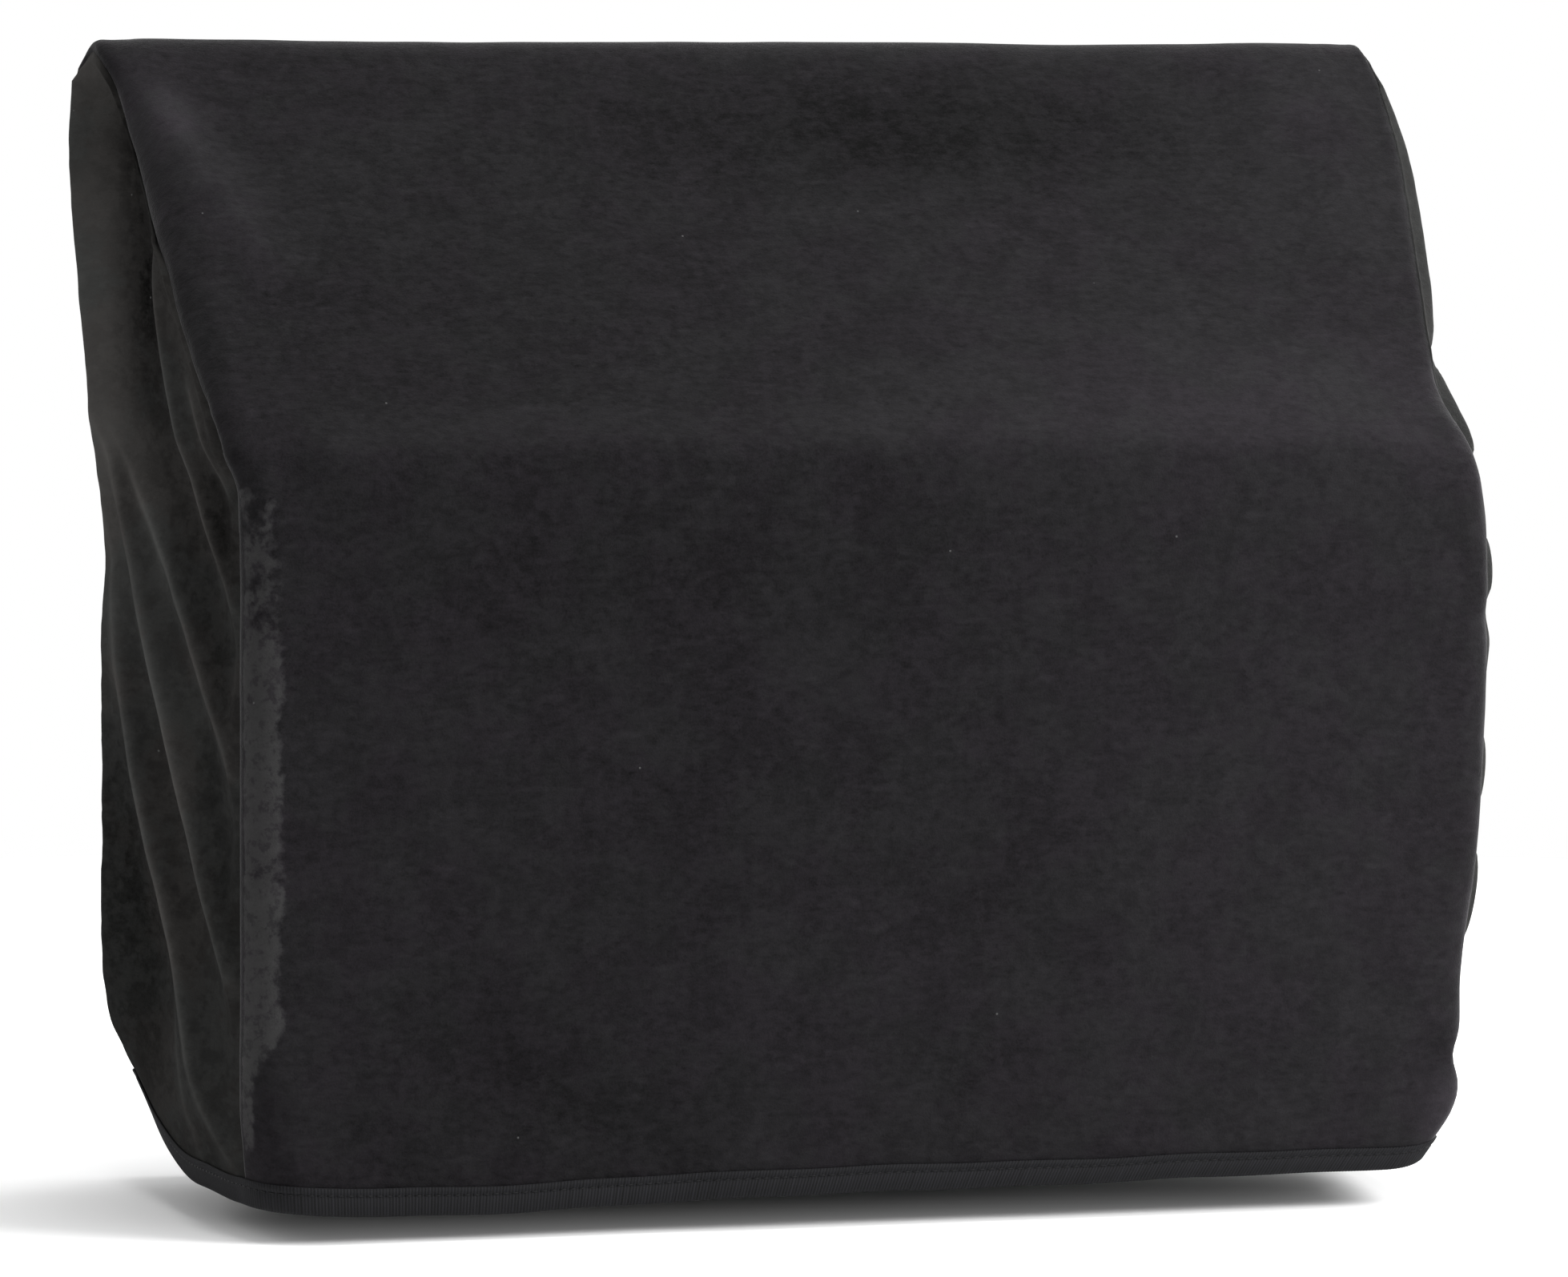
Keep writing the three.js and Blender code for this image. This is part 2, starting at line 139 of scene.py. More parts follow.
def strip(place):
    """Left seam, right seam, depth and height at places along the strip, and how they change there."""
    place = np.asarray(place, float)
    row = np.clip(place.astype(int), 0, LAST_ROW - 1)
    part = (place - row)[:, None]
    before = 2 * strip_rows[:1] - strip_rows[1:2]
    after = 2 * strip_rows[-1:] - strip_rows[-2:-1]
    knots = np.vstack([before, strip_rows, after])
    p0, p1, p2, p3 = (knots[row + i] for i in range(4))
    start, end = (p2 - p0) / 2, (p3 - p1) / 2
    bend = 3 * (p2 - p1) - 2 * start - end
    twist = 2 * (p1 - p2) + start + end
    value = p1 + part * (start + part * (bend + part * twist))
    change = start + part * (2 * bend + 3 * part * twist)
    return value, change


fine_places = np.linspace(0, LAST_ROW, PLACE_COUNT)
fine_steps = np.diff(strip(fine_places)[0][:, 2:], axis=0)
strip_length = np.concatenate([[0], np.cumsum(np.hypot(*fine_steps.T))])
print("the strip is", round(strip_length[-1]), "mm long")

# %% [markdown]
# ## A softer bend beside the seams
# Where the slope turns down into the front, the cloth bends sharply in the middle of the panel. Near
# the seams it rolls over an edge at the same time and can't bend so tightly, so the line of the bend
# is blurred there. Without that the roll would fold through itself and leave a beak at the corner.

# %% Softer bend beside the seams
BEND_HEIGHT, BEND_SOFTNESS, BEND_REACH = 278.0, 17.0, 45.0
BLUR_STEP, BLUR_STEPS = 0.5, 120
even = np.arange(0, strip_length[-1], BLUR_STEP)
even_rows = strip(np.interp(even, strip_length, fine_places))[0]
front_half = even > strip_length[-1] / 2
bend_at = even[front_half][np.argmin(np.abs(even_rows[front_half, 3] - BEND_HEIGHT))]
blur_offsets = np.arange(-BLUR_STEPS, BLUR_STEPS + 1) * BLUR_STEP
kernel = np.exp(-((blur_offsets / BEND_SOFTNESS) ** 2) / 2)
ends = np.pad(even_rows, ((BLUR_STEPS, BLUR_STEPS), (0, 0)), mode="edge")
blurred = np.stack([np.convolve(c, kernel / kernel.sum(), "valid") for c in ends.T], axis=1)
near_bend = np.exp(-(((even - bend_at) / BEND_REACH) ** 2))[:, None]
soft_rows = even_rows + near_bend * (blurred - even_rows)
soft_slopes = np.gradient(soft_rows, even, axis=0)


def soft_strip(place):
    """Depth and height along the strip with the bend softened, and how they change."""
    run = np.interp(place, fine_places, strip_length)
    read = lambda columns: np.stack([np.interp(run, even, c) for c in columns.T], axis=1)
    return read(soft_rows[:, 2:]), read(soft_slopes[:, 2:])


print("bend at", round(bend_at), "mm from the back hem")

# %% [markdown]
# ## Folds and the hem's line
# A fold in slack cloth has a rounded crest, and its flanks run out in a hanging curve. Each fold here
# is a bent line with a rise and a spread, so it can be laid where it lies on the real cover. Sculpting
# by hand would look as good but could not be repeated. Where folds meet, the nearest one leads.

# %% Folds and hem line
CREST_STEPS = 14
# Start, bend and end of a fold across and up its panel, its rise, its spread and how its ends fade
FOLD_COLUMNS = "from_a from_z bend_a bend_z to_a to_z rise spread fade"
HEM_BACK_RISE, HEM_BACK_DEPTHS = 22, (75, 212)
HEM_RIGHT_RISE, HEM_RIGHT_SPAN = 1.2, (60, 150)
HEM_CORNER_RISE, HEM_CORNER_SPAN = 2.5, (205, 225)
HEM_DIP, HEM_DIP_AT, HEM_DIP_REACH = 3.5, -155, 85
HEM_FRONT_DEPTHS, HEM_LIFT_HEIGHTS = (0, 130), (0, 110)


def ease(value, low, high):
    """0 below low, 1 above high and a soft change between."""
    share = np.clip((np.asarray(value, float) - low) / (high - low), 0, 1)
    return share * share * (3 - 2 * share)


def between(value, low, full, fade, high):
    """1 from full to fade, and softly down to 0 at low and at high."""
    return ease(value, low, full) * (1 - ease(value, fade, high))


def fold_rise(folds, across, height, crest_round):
    """How far the folds of a table stand proud at places across and up a panel."""
    point = np.stack([across, height], axis=1)
    total = np.zeros(len(point))
    share = np.linspace(0, 1, CREST_STEPS + 1)[:, None]
    for fa, fz, ba, bz, ta, tz, rise, spread, fade in zip(*folds.values()):
        crest = (1 - share) ** 2 * (fa, fz) + 2 * share * (1 - share) * (ba, bz) + share**2 * (ta, tz)
        away, spot = np.full(len(point), np.inf), np.zeros(len(point))
        for step, (start, end) in enumerate(zip(crest, crest[1:])):
            along = end - start
            part = np.clip((point - start) @ along / (along @ along), 0, 1)
            gap = np.linalg.norm(point - start - part[:, None] * along, axis=1)
            spot = np.where(gap < away, (step + part) / CREST_STEPS, spot)
            away = np.minimum(away, gap)
        away = np.hypot(away, crest_round) - crest_round
        fullness = np.clip(np.sin(math.pi * spot), 0, 1) ** fade
        total += (rise * fullness * np.exp(-away / spread)) ** 3
    return np.cbrt(total)


def hem_lift(x, depth, height):
    """The hem rises at the back and to the front right corner, and dips left of the middle."""
    back = HEM_BACK_RISE * ease(depth, *HEM_BACK_DEPTHS)
    front = HEM_RIGHT_RISE * ease(x, *HEM_RIGHT_SPAN) + HEM_CORNER_RISE * ease(x, *HEM_CORNER_SPAN)
    front = front - HEM_DIP * np.exp(-(((x - HEM_DIP_AT) / HEM_DIP_REACH) ** 2))
    front = front * (1 - ease(depth, *HEM_FRONT_DEPTHS))
    return (back + front) * (1 - ease(height, *HEM_LIFT_HEIGHTS))


def waves(points, size, offset=0.0):
    """Smooth unevenness between -1 and 1, the same on every run."""
    return np.array([noise.noise(Vector(p / size) + Vector((offset, 0, 0))) for p in points])


def uneven(points, layers):
    """Layers of waves in one: how high each is, how large, and where in the noise it starts."""
    return sum(high * waves(points, size, offset) for high, size, offset in layers)


print("hem lift at the back", hem_lift(np.array([0.0]), np.array([211.0]), np.array([0.0])))

# %% [markdown]
# ## The wrap panel's folds
# Long drag folds come up from the hem of the front, a soft ridge runs down from each top corner, and
# three small pinches draw its right edge in. The back has two shallow folds. Cloth simulation would find
# folds of its own, but here they have to lie where they lie on the real cover.

# %% Wrap folds
WRAP_CREST_ROUND = 6.0
FRONT_FOLDS = table(
    FOLD_COLUMNS,
    (-188, 76, -130, 36, -58, 10, -4.5, 22, 0.4),
    (-208, 36, -188, 22, -160, 12, -2.5, 14, 0.4),
    (-124, 124, -92, 108, -60, 90, -2, 24, 0.6),
    (-4, 120, 45, 106, 92, 88, -2.2, 26, 0.6),
    (-4, 66, 34, 45, 66, 20, -2.2, 22, 0.6),
    (-258, 424, -243, 394, -208, 336, 4.5, 9, 0.5),
    (240, 414, 215, 404, 186, 390, 2, 10, 0.5),
    (242, 406, 222, 380, 212, 346, 1.5, 9, 0.5),
    (226, 54, 221, 42, 226, 30, -4, 7, 0.5),
    (240, 238, 233, 226, 237, 212, -3, 7, 0.5),
)
BACK_FOLDS = table(
    FOLD_COLUMNS,
    (-150, 330, -60, 190, 10, 60, -3, 40, 0.6),
    (180, 300, 120, 170, 90, 50, -3, 40, 0.6),
)
EDGE_DENTS = table("height reach depth", (40, 8, 3.0), (210, 6, 1.0), (292, 12, 2.5))
DENT_FROM_EDGE, DENT_FULL_AT = 25, 4
print(len(FRONT_FOLDS["rise"]), "front folds,", len(BACK_FOLDS["rise"]), "back folds")

# %% [markdown]
# ## The wrap panel's surface
# A row of the table and a share of the width say where a place is on the strip. Across its width the
# strip is flat, and at both edges it rolls round a soft corner before the seam. A lofted surface between
# drawn curves would do too, but a function can also tell the gussets where their seams are.

# %% Wrap surface
ROLL, TOP_ROLL, TOP_ROLL_FROM = 13.0, 6.0, 370.0
HEM_ROLL, HEM_ROLL_TO = {-1: 24.0, 1: 13.0}, 80.0
SEAM_TURN = math.radians(75)
LEFT_OVER_TURN, RIGHT_SLOPE_TURN = math.radians(38), math.radians(30)
LEFT_OVER_SPANS = (15, 80, 225, 275), (345, 375, 400, 420)
RIGHT_SLOPE_SPAN = (280, 315)
SOFT_BEND_TO = 30
EDGE_HOLD = 16.0


def unit(arrows):
    """The same arrows, each of length 1."""
    return arrows / np.linalg.norm(arrows, axis=1)[:, None]


def edge_dent(height):
    """How far small pinches draw the right edge of the front in."""
    return sum(d * np.exp(-(((height - z) / r) ** 2)) for z, r, d in zip(*EDGE_DENTS.values()))


def roll_of(height, front_share, side):
    """Radius of the edge roll on one side, and how far it turns before the seam."""
    roll = ROLL + (TOP_ROLL - ROLL) * ease(height, TOP_ROLL_FROM, TOP_HEIGHT)
    roll += (HEM_ROLL[side] - ROLL) * (1 - ease(height, 0, HEM_ROLL_TO))
    if side < 0:
        over = sum(between(height, *span) for span in LEFT_OVER_SPANS)
        return roll, SEAM_TURN + LEFT_OVER_TURN * over * front_share
    flatter = (RIGHT_SLOPE_TURN - SEAM_TURN) * ease(height, *RIGHT_SLOPE_SPAN)
    return roll, SEAM_TURN + flatter * front_share


def wrap_surface(place, across, lifted=True):
    """Points of the wrap, the way it faces, the distance from the nearer seam and the cloth's width."""
    value, change = strip(place)
    left, right, depth, height = value.T
    front_share = ease(place, section_count - 1, section_count - 1 + TOP_ROWS)
    roll_left, limit_left = roll_of(height, front_share, -1)
    roll_right, limit_right = roll_of(height, front_share, 1)
    arc_left, arc_right = roll_left * limit_left, roll_right * limit_right
    flat_left = roll_left * np.sin(np.minimum(limit_left, math.pi / 2)) - left
    flat_right = right - roll_right * np.sin(np.minimum(limit_right, math.pi / 2))
    width = flat_right - flat_left + arc_left + arc_right
    along = across * width
    from_roll = np.minimum(along - arc_left, width - along - arc_right)

    soft = (1 - ease(from_roll, 0, SOFT_BEND_TO))[:, None]
    soft_value, soft_change = soft_strip(place)
    depth, height = (value[:, 2:] + soft * (soft_value - value[:, 2:])).T
    tangent = unit(change[:, 2:])
    tangent = unit(tangent + soft * (unit(soft_change) - tangent))
    out_y, out_z = tangent[:, 1], -tangent[:, 0]

    turn_left = np.clip(arc_left - along, 0, None) / roll_left
    turn_right = np.clip(along - width + arc_right, 0, None) / roll_right
    flat = np.clip(along - arc_left, 0, flat_right - flat_left) + flat_left
    x = flat - roll_left * np.sin(turn_left) + roll_right * np.sin(turn_right)
    x -= edge_dent(height) * front_share * ease(x, right - DENT_FROM_EDGE, right - DENT_FULL_AT)
    drop = roll_left * (1 - np.cos(turn_left)) + roll_right * (1 - np.cos(turn_right))
    hold = ease(np.minimum(x + left, right - x), 0, EDGE_HOLD)
    front = fold_rise(FRONT_FOLDS, x, height, WRAP_CREST_ROUND)
    back = fold_rise(BACK_FOLDS, x, height, WRAP_CREST_ROUND)
    rise = hold * np.where(front_share > 0.5, front, back) - drop
    points = np.stack([x, depth + out_y * rise, height + out_z * rise], axis=1)
    if lifted:
        points[:, 2] += hem_lift(*points.T)
    turn = turn_left + turn_right
    facing_x = np.where(turn_right > 0, 1, -1) * np.sin(turn)
    facing = np.stack([facing_x, out_y * np.cos(turn), out_z * np.cos(turn)], axis=1)
    return points, facing, np.minimum(along, width - along), width


seam_corner = wrap_surface(np.array([section_count - 1 + TOP_ROWS / 2]), np.array([0.0]))[0]
print("top of the left seam", seam_corner.round(1))

# %% [markdown]
# ## The side panels' surface
# Each gusset hangs between the two seams of the wrap, so its edge points are the wrap's own. It is cut
# a little too large, so it sinks in between the seams and hangs in long folds from the upper back to
# the lower front. The bound hem holds the folds together at the bottom. Grid Fill would span the seams
# too, but flat and without folds.

# %% Side surface
SIDE_CREST_ROUND = 3.5
FOLD_HOLD = 7.0
CROWN_POWER = 7
HOLLOW = {-1: 8.0, 1: 3.0}
FRONT_DIP = {-1: 1.5, 1: 0.0}
HEM_BULGE = {-1: 6.0, 1: 5.0}
BULGE_HEIGHTS, FOLDS_FROM_HEM = (0, 90), (-12, 50)
DIP_STARTS, DIP_RUNS_OUT = 8, 50
LEFT_FOLDS = table(
    FOLD_COLUMNS,
    (208, 300, 108, 158, 12, 72, 12, 14, 0.45),
    (192, 284, 105, 222, 10, 148, 9.5, 13, 0.6),
    (196, 245, 144, 112, 24, 6, 11, 14, 0.6),
    (126, 354, 88, 275, 15, 211, 9, 12, 0.6),
    (202, 424, 206, 330, 190, 226, 9, 15, 0.4),
    (78, 304, 46, 282, 18, 258, 3.5, 7, 0.5),
    (112, 70, 84, 44, 64, 8, 3.5, 6, 0.5),
)
RIGHT_FOLDS = table(
    FOLD_COLUMNS,
    (196, 395, 180, 190, 40, 60, 6, 18, 0.4),
    (140, 352, 90, 240, 0, 190, 5, 16, 0.4),
    (200, 190, 180, 90, 120, 0, 5, 18, 0.4),
    (58, 309, 104, 346, 176, 408, 9, 9, 0.3),
    (20, 242, 22, 228, 18, 216, 5.5, 7, 0.4),
    (18, 166, 21, 152, 18, 138, 4, 7, 0.4),
    (18, 122, 21, 104, 18, 86, 5, 7, 0.4),
    (46, 302, 32, 288, 20, 272, 6, 7, 0.4),
)
SIDE_FOLDS = {-1: LEFT_FOLDS, 1: RIGHT_FOLDS}


def side_surface(side, row, across):
    """Points of a gusset at section rows up and shares across, from its front seam to its back seam."""
    edge = np.full(len(row), 0.0 if side < 0 else 1.0)
    seam = lambda place: wrap_surface(place, edge, lifted=False)[0]
    share = across[:, None]
    front, back = seam(LAST_ROW - row), seam(row)
    top_front = seam(np.full(len(row), section_count - 1.0 + TOP_ROWS))
    top_back = seam(np.full(len(row), section_count - 1.0))
    top = seam(section_count - 1 + (1 - across) * TOP_ROWS)
    crown = top - (top_front + (top_back - top_front) * share)
    points = front + (back - front) * share
    points += crown * ((row / (section_count - 1)) ** CROWN_POWER)[:, None]
    width = np.linalg.norm(back - front, axis=1)
    to_seam = np.minimum(across, 1 - across) * width
    to_top = top_front[:, 2] - front[:, 2]
    to_edge = np.minimum(to_seam, to_top)

    low = 1 - ease(points[:, 2], *BULGE_HEIGHTS)
    calm = ease(points[:, 2], *FOLDS_FROM_HEM)
    points[:, 2] += hem_lift(*points.T)
    slack = np.sin(math.pi * across) * (HEM_BULGE[side] * low - HOLLOW[side] * (1 - low))
    folds = fold_rise(SIDE_FOLDS[side], points[:, 1], points[:, 2], SIDE_CREST_ROUND)
    from_front = across * width
    dip = FRONT_DIP[side] * (1 - np.exp(-from_front / DIP_STARTS)) * np.exp(-from_front / DIP_RUNS_OUT)
    slack = slack * ease(to_edge, 0, EDGE_HOLD) - dip * ease(to_top, 0, EDGE_HOLD) * (1 - low)
    points[:, 0] += side * (slack + ease(to_edge, 0, FOLD_HOLD) * calm * folds)
    return points, np.minimum(to_seam, np.linalg.norm(top - points, axis=1))


middle_of_side = side_surface(-1, np.array([4.0]), np.array([0.5]))[0]
print("a place on the left gusset", middle_of_side.round(1))

# %% [markdown]
# ## Laying the cloth
# A flat grid is the natural start for a panel: its squares are the threads of the cloth, and moving its
# points drapes it without changing how they are joined. The rows are closer together near the seams,
# where the puckers are. A Solidify modifier then gives the sheet its thickness on the inside.

# %% Helpers that lay a panel
def to_frame(points):
    """Millimetres of the tables to metres of the part, with the origin under the top ridge."""
    return (points - np.array([0, TOP_MIDDLE, TOP_HEIGHT - CLOTH])) * MM


def flat_grid(across_steps, along_steps):
    """A bmesh grid, and the share across and along of each of its points."""
    bm = bmesh.new()
    bmesh.ops.create_grid(bm, x_segments=across_steps, y_segments=along_steps, size=0.5)
    bm.verts.ensure_lookup_table()
    shares = np.array([v.co[:2] for v in bm.verts]) + 0.5
    return bm, np.clip(shares, 0, 1)


def mesh_object(name, bm):
    """An object with the mesh that a bmesh holds."""
    mesh = bpy.data.meshes.new(name)
    bm.to_mesh(mesh)
    bm.free()
    return placed(name, mesh)


def finish_panel(name, bm, points, measures, turn_over, thickness, painted_fields=None):
    """Moves the grid to its places, measures it as cloth and makes it an object."""
    for vert, place in zip(bm.verts, to_frame(points)):
        vert.co = place
    for field, values in (painted_fields or {}).items():
        layer = bm.verts.layers.float.new(field)
        for vert, value in zip(bm.verts, values):
            vert[layer] = value
    layer = bm.loops.layers.uv.new("cloth")
    for face in bm.faces:
        for loop in face.loops:
            loop[layer].uv = measures[loop.vert.index]
        face.smooth = True
    if turn_over:
        bmesh.ops.reverse_faces(bm, faces=bm.faces)
    panel = mesh_object(name, bm)
    solid = panel.modifiers.new("thickness", "SOLIDIFY")
    solid.thickness = thickness * MM
    solid.offset = -1
    print(name, len(panel.data.polygons), "faces")
    return panel


def closer_at_edges(share, amount):
    """Spreads even shares so that they crowd towards 0 and 1."""
    return share - amount * np.sin(2 * math.pi * share) / (2 * math.pi)


print("top of the ridge in the frame", to_frame(np.array([0, TOP_MIDDLE, TOP_HEIGHT])))

# %% [markdown]
# ## Seams and painted shading
# A sewn seam sits in a groove, with puckers that die away beside it. Each panel also carries values at
# every point for painted light and shade, and for a pale strip that is partly worn; the finish reads
# them later. Vertex painting would do the same by hand.

# %% Seam relief and painted areas
HEM_CALM = (10, 34)
SEAM_DIP, SEAM_WIDTH = 2.0, 2.4
PUCKERS = (1, 11.0, 0.0), (0.5, 5.5, 9.0)
PUCKER_HIGH, PUCKER_REACH = 0.8, 7.0
FRONT_CALM, FRONT_EDGE_DEPTHS, FRONT_EDGE_HEIGHTS = 0.8, (20, 60), (250, 285)
SLOPE_CALM, SLOPE_EDGE_DEPTHS, SLOPE_EDGE_HEIGHTS = 0.6, (165, 185), (285, 310)


def seam_relief(points, to_seam):
    """A seam draws the cloth in and puckers it; down the front and slope edges it lies smoother."""
    depth, height = points[:, 1], points[:, 2]
    front_edge = (1 - ease(depth, *FRONT_EDGE_DEPTHS)) * (1 - ease(height, *FRONT_EDGE_HEIGHTS))
    slope_edge = (1 - ease(depth, *SLOPE_EDGE_DEPTHS)) * ease(height, *SLOPE_EDGE_HEIGHTS)
    calm = 1 - FRONT_CALM * front_edge - SLOPE_CALM * slope_edge
    groove = SEAM_DIP * np.exp(-((to_seam / SEAM_WIDTH) ** 2))
    return calm * (PUCKER_HIGH * uneven(points, PUCKERS) * np.exp(-to_seam / PUCKER_REACH) - groove)


def painted_areas(areas, across, height):
    """Sum of the areas of a table that are painted darker or lighter: painted shade and painted light."""
    total = np.zeros(len(height))
    for middle_a, middle_z, reach_a, reach_z, amount in zip(*areas.values()):
        away = ((across - middle_a) / reach_a) ** 2 + ((height - middle_z) / reach_z) ** 2
        total += amount * np.exp(-away)
    return total


print("groove", SEAM_DIP, "mm deep")

# %% [markdown]
# ## The wrap panel's grid
# The grid's points get their places from the surface. Its rows run in equal steps of real length, so the
# squares keep their size where the rows of the table lie far apart. Scaling a plain grid to the table's
# rows would be shorter to write, but it would stretch the weave on the long flat back.

# %% Wrap grid
WRAP_ACROSS, WRAP_ALONG, WRAP_CROWDING = 160, 288, 0.75
ROWS_BELOW_BEND = 7.2
grid, shares = flat_grid(WRAP_ACROSS, WRAP_ALONG)
wrap_across = closer_at_edges(shares[:, 0], WRAP_CROWDING)
wrap_run = shares[:, 1] * strip_length[-1]
wrap_place = np.interp(wrap_run, strip_length, fine_places)
wrap_points, wrap_facing, from_seam, wrap_width = wrap_surface(wrap_place, wrap_across)
x, level = wrap_points[:, 0].copy(), wrap_points[:, 2].copy()
on_front = wrap_place > LAST_ROW - ROWS_BELOW_BEND
over_top = wrap_place > section_count - 1 + TOP_ROWS / 2
print("wrap grid of", len(shares), "points, the cloth", round(wrap_width.max()), "mm wide")

# %% [markdown]
# ## Painted light, shade and wear on the wrap
# A pale strip runs down the left edge of the front and is narrower near the hem: partly worn pile, partly
# a painted highlight where the rolled edge catches the light. Large areas are painted lighter or darker as
# painted light and shade, the cloth pales towards the right, and the slope is painted darker. Creases get
# painted highlights on their crests and painted shade in their troughs, and the right edge has a painted
# highlight rim on the front and a painted shade line on the slope. A painted image could hold all this,
# but values on the points need no file and follow the cloth.

# %% Wrap painted light and wear
# Areas painted lighter or darker as painted light and shade: the slope pales to its lower right and
# darkens at its top middle, the front's middle is darker, and small painted highlights sit at the front's
# lower right corner and high on the left edge
FRONT_PAINTED_AREAS = table(
    "x height reach_x reach_z amount",
    (60, 395, 110, 22, -0.52),
    (170, 296, 120, 20, 0.45),
    (-130, 340, 130, 55, -0.12),
    (-60, 240, 160, 45, -0.22),
    (-30, 150, 120, 60, -0.14),
    (226, 24, 12, 14, 0.8),
    (-242, 400, 13, 13, 0.8),
)
STRIP_WIDTH, STRIP_NARROWING, STRIP_WIDENS = 20, 14, (42, 72)
STRIP_SOLID_SHARE, STRIP_ENDS = 0.4, (8, 30, 260, 274)
STRIP_PALES_LESS, STRIP_UPPER_PART = 0.34, (195, 225)
CREST_PALE, CREST_MOST, TROUGH_DARK, TROUGH_MOST = 0.14, 3, 0.06, -4
RIGHT_PALE, HALF_WIDTH = 0.10, 240
SLOPE_DARK, SLOPE_STARTS = 0.22, (280, 300)
RIM_PALE, RIM_WIDTHS = 1.2, (0.5, 6)
RIM_BREAK_SIZE, RIM_BREAK_OFFSET, RIM_BREAKS = 22.0, 5.0, (-0.35, 0.25)
SLOPE_RIM_DARK, SLOPE_RIM_WIDTHS, SLOPE_RIM_SPAN = 0.9, (1, 3.5), (300, 312, 405, 425)

from_edge = x + strip(wrap_place)[0][:, 0]
to_right = strip(wrap_place)[0][:, 1] - x
strip_edge = STRIP_WIDTH - STRIP_NARROWING * (1 - ease(level, *STRIP_WIDENS))
# The pale strip down the front's left edge: partly worn pile, partly a painted highlight on the rolled
# edge
wear_and_highlight_strip = (1 - ease(from_edge, STRIP_SOLID_SHARE * strip_edge, strip_edge)) * on_front
wear_and_highlight_strip *= 1 - STRIP_PALES_LESS * ease(level, *STRIP_UPPER_PART)
wear_and_highlight_strip *= between(level, *STRIP_ENDS) * ease(from_edge, 0, 1)

creases = fold_rise(FRONT_FOLDS, x, level, WRAP_CREST_ROUND) * over_top
# Painted highlights on the crests and painted shade in the troughs
painted_shading = CREST_PALE * np.clip(creases, 0, CREST_MOST) + TROUGH_DARK * np.clip(creases, TROUGH_MOST, 0)
# Painted light that pales towards the right, and the painted areas
painted_shading += RIGHT_PALE * x / HALF_WIDTH + painted_areas(FRONT_PAINTED_AREAS, x, level) * over_top
# Painted shade over the slope
painted_shading -= SLOPE_DARK * over_top * ease(level, *SLOPE_STARTS)
# A broken painted highlight rim down the right edge of the front
broken = ease(waves(wrap_points, RIM_BREAK_SIZE, RIM_BREAK_OFFSET), *RIM_BREAKS)
painted_shading += RIM_PALE * (1 - ease(to_right, *RIM_WIDTHS)) * on_front * broken
# A thin painted shade line along the slope's right seam
slope_rim = (1 - ease(to_right, *SLOPE_RIM_WIDTHS)) * over_top * between(level, *SLOPE_RIM_SPAN)
painted_shading -= SLOPE_RIM_DARK * slope_rim
print("nap from", painted_shading.min().round(2), "to", painted_shading.max().round(2))

# %% [markdown]
# ## The finished wrap
# No hanging cloth is perfectly smooth, so the points move out and in a little by noise, and by the relief
# of the seams. A Displace modifier would do this too, but here the hem has to stay calm for its binding.

# %% Wrap panel
WRAP_UNEVEN = (0.9, 85.0, 0.0), (0.35, 28.0, 4.0)
above_hem = np.minimum(wrap_run, strip_length[-1] - wrap_run)
relief = uneven(wrap_points, WRAP_UNEVEN) * ease(from_seam, 0, EDGE_HOLD)
relief += seam_relief(wrap_points, from_seam)
wrap_points += wrap_facing * (relief * ease(above_hem, *HEM_CALM))[:, None]
wrap_measures = np.stack([wrap_across * wrap_width, wrap_run], axis=1) * MM
painted_fields = {"wear_and_highlight_strip": wear_and_highlight_strip, "painted_shading": painted_shading}
wrap = finish_panel("wrap_velour", grid, wrap_points, wrap_measures, True, CLOTH, painted_fields)

# %% [markdown]
# ## Painted light and shade on the gussets
# On the slack gussets painted light and shade show the folds more than the lamps do. Flanks that lean to
# the front get painted shade, painted dark and pale streaks run beside the folds, and most crests carry a
# thin painted highlight line. The streaks and lines have tables of the same form as the folds, so they can
# lie along them; painting them by hand would have to be done again after every change to a fold.

# %% Side painted light
# Areas of the left gusset painted darker or paler: painted shade and painted light
SIDE_PAINTED_AREAS = table(
    "depth height reach_depth reach_z amount",
    (152, 338, 18, 58, -0.95),
    (175, 100, 45, 80, -0.50),
    (185, 395, 24, 26, -1.6),
    (186, 285, 14, 40, 0.3),
    (176, 200, 12, 25, 1.0),
    (88, 26, 26, 20, 0.45),
    (38, 248, 22, 28, -0.40),
    (50, 200, 22, 35, -0.30),
    (95, 228, 30, 40, -0.20),
)
# Here a fold's rise is how much paler the painted light is along the streak, or how much darker the
# painted shade is below 0
SIDE_STREAKS = table(
    FOLD_COLUMNS,
    (178, 294, 155, 260, 118, 212, 1.4, 7, 0.5),
    (150, 395, 152, 315, 116, 260, -0.75, 12, 0.3),
    (120, 258, 95, 236, 22, 172, -0.65, 11, 0.3),
    (60, 266, 38, 258, 20, 226, -0.75, 11, 0.3),
    (76, 170, 54, 148, 20, 94, -0.65, 11, 0.4),
    (150, 215, 108, 172, 60, 108, 0.7, 10, 0.5),
    (188, 170, 180, 90, 118, 42, -0.45, 18, 0.3),
)
STREAK_ROUND, CREST_LINE_ROUND, CREST_LINE_SPREAD = 6.0, 0.8, 1.9
# How much paler the painted highlight line on the crest of each left fold is
CREST_SHINE = np.array([2.6, 3.0, 3.2, 2.8, 0.0, 2.0, 1.2])
crest_spread = np.full(len(CREST_SHINE), CREST_LINE_SPREAD)
CREST_HIGHLIGHTS = {**LEFT_FOLDS, "rise": CREST_SHINE, "spread": crest_spread}
print(len(SIDE_STREAKS["rise"]), "streaks and", np.count_nonzero(CREST_SHINE), "crest lines")

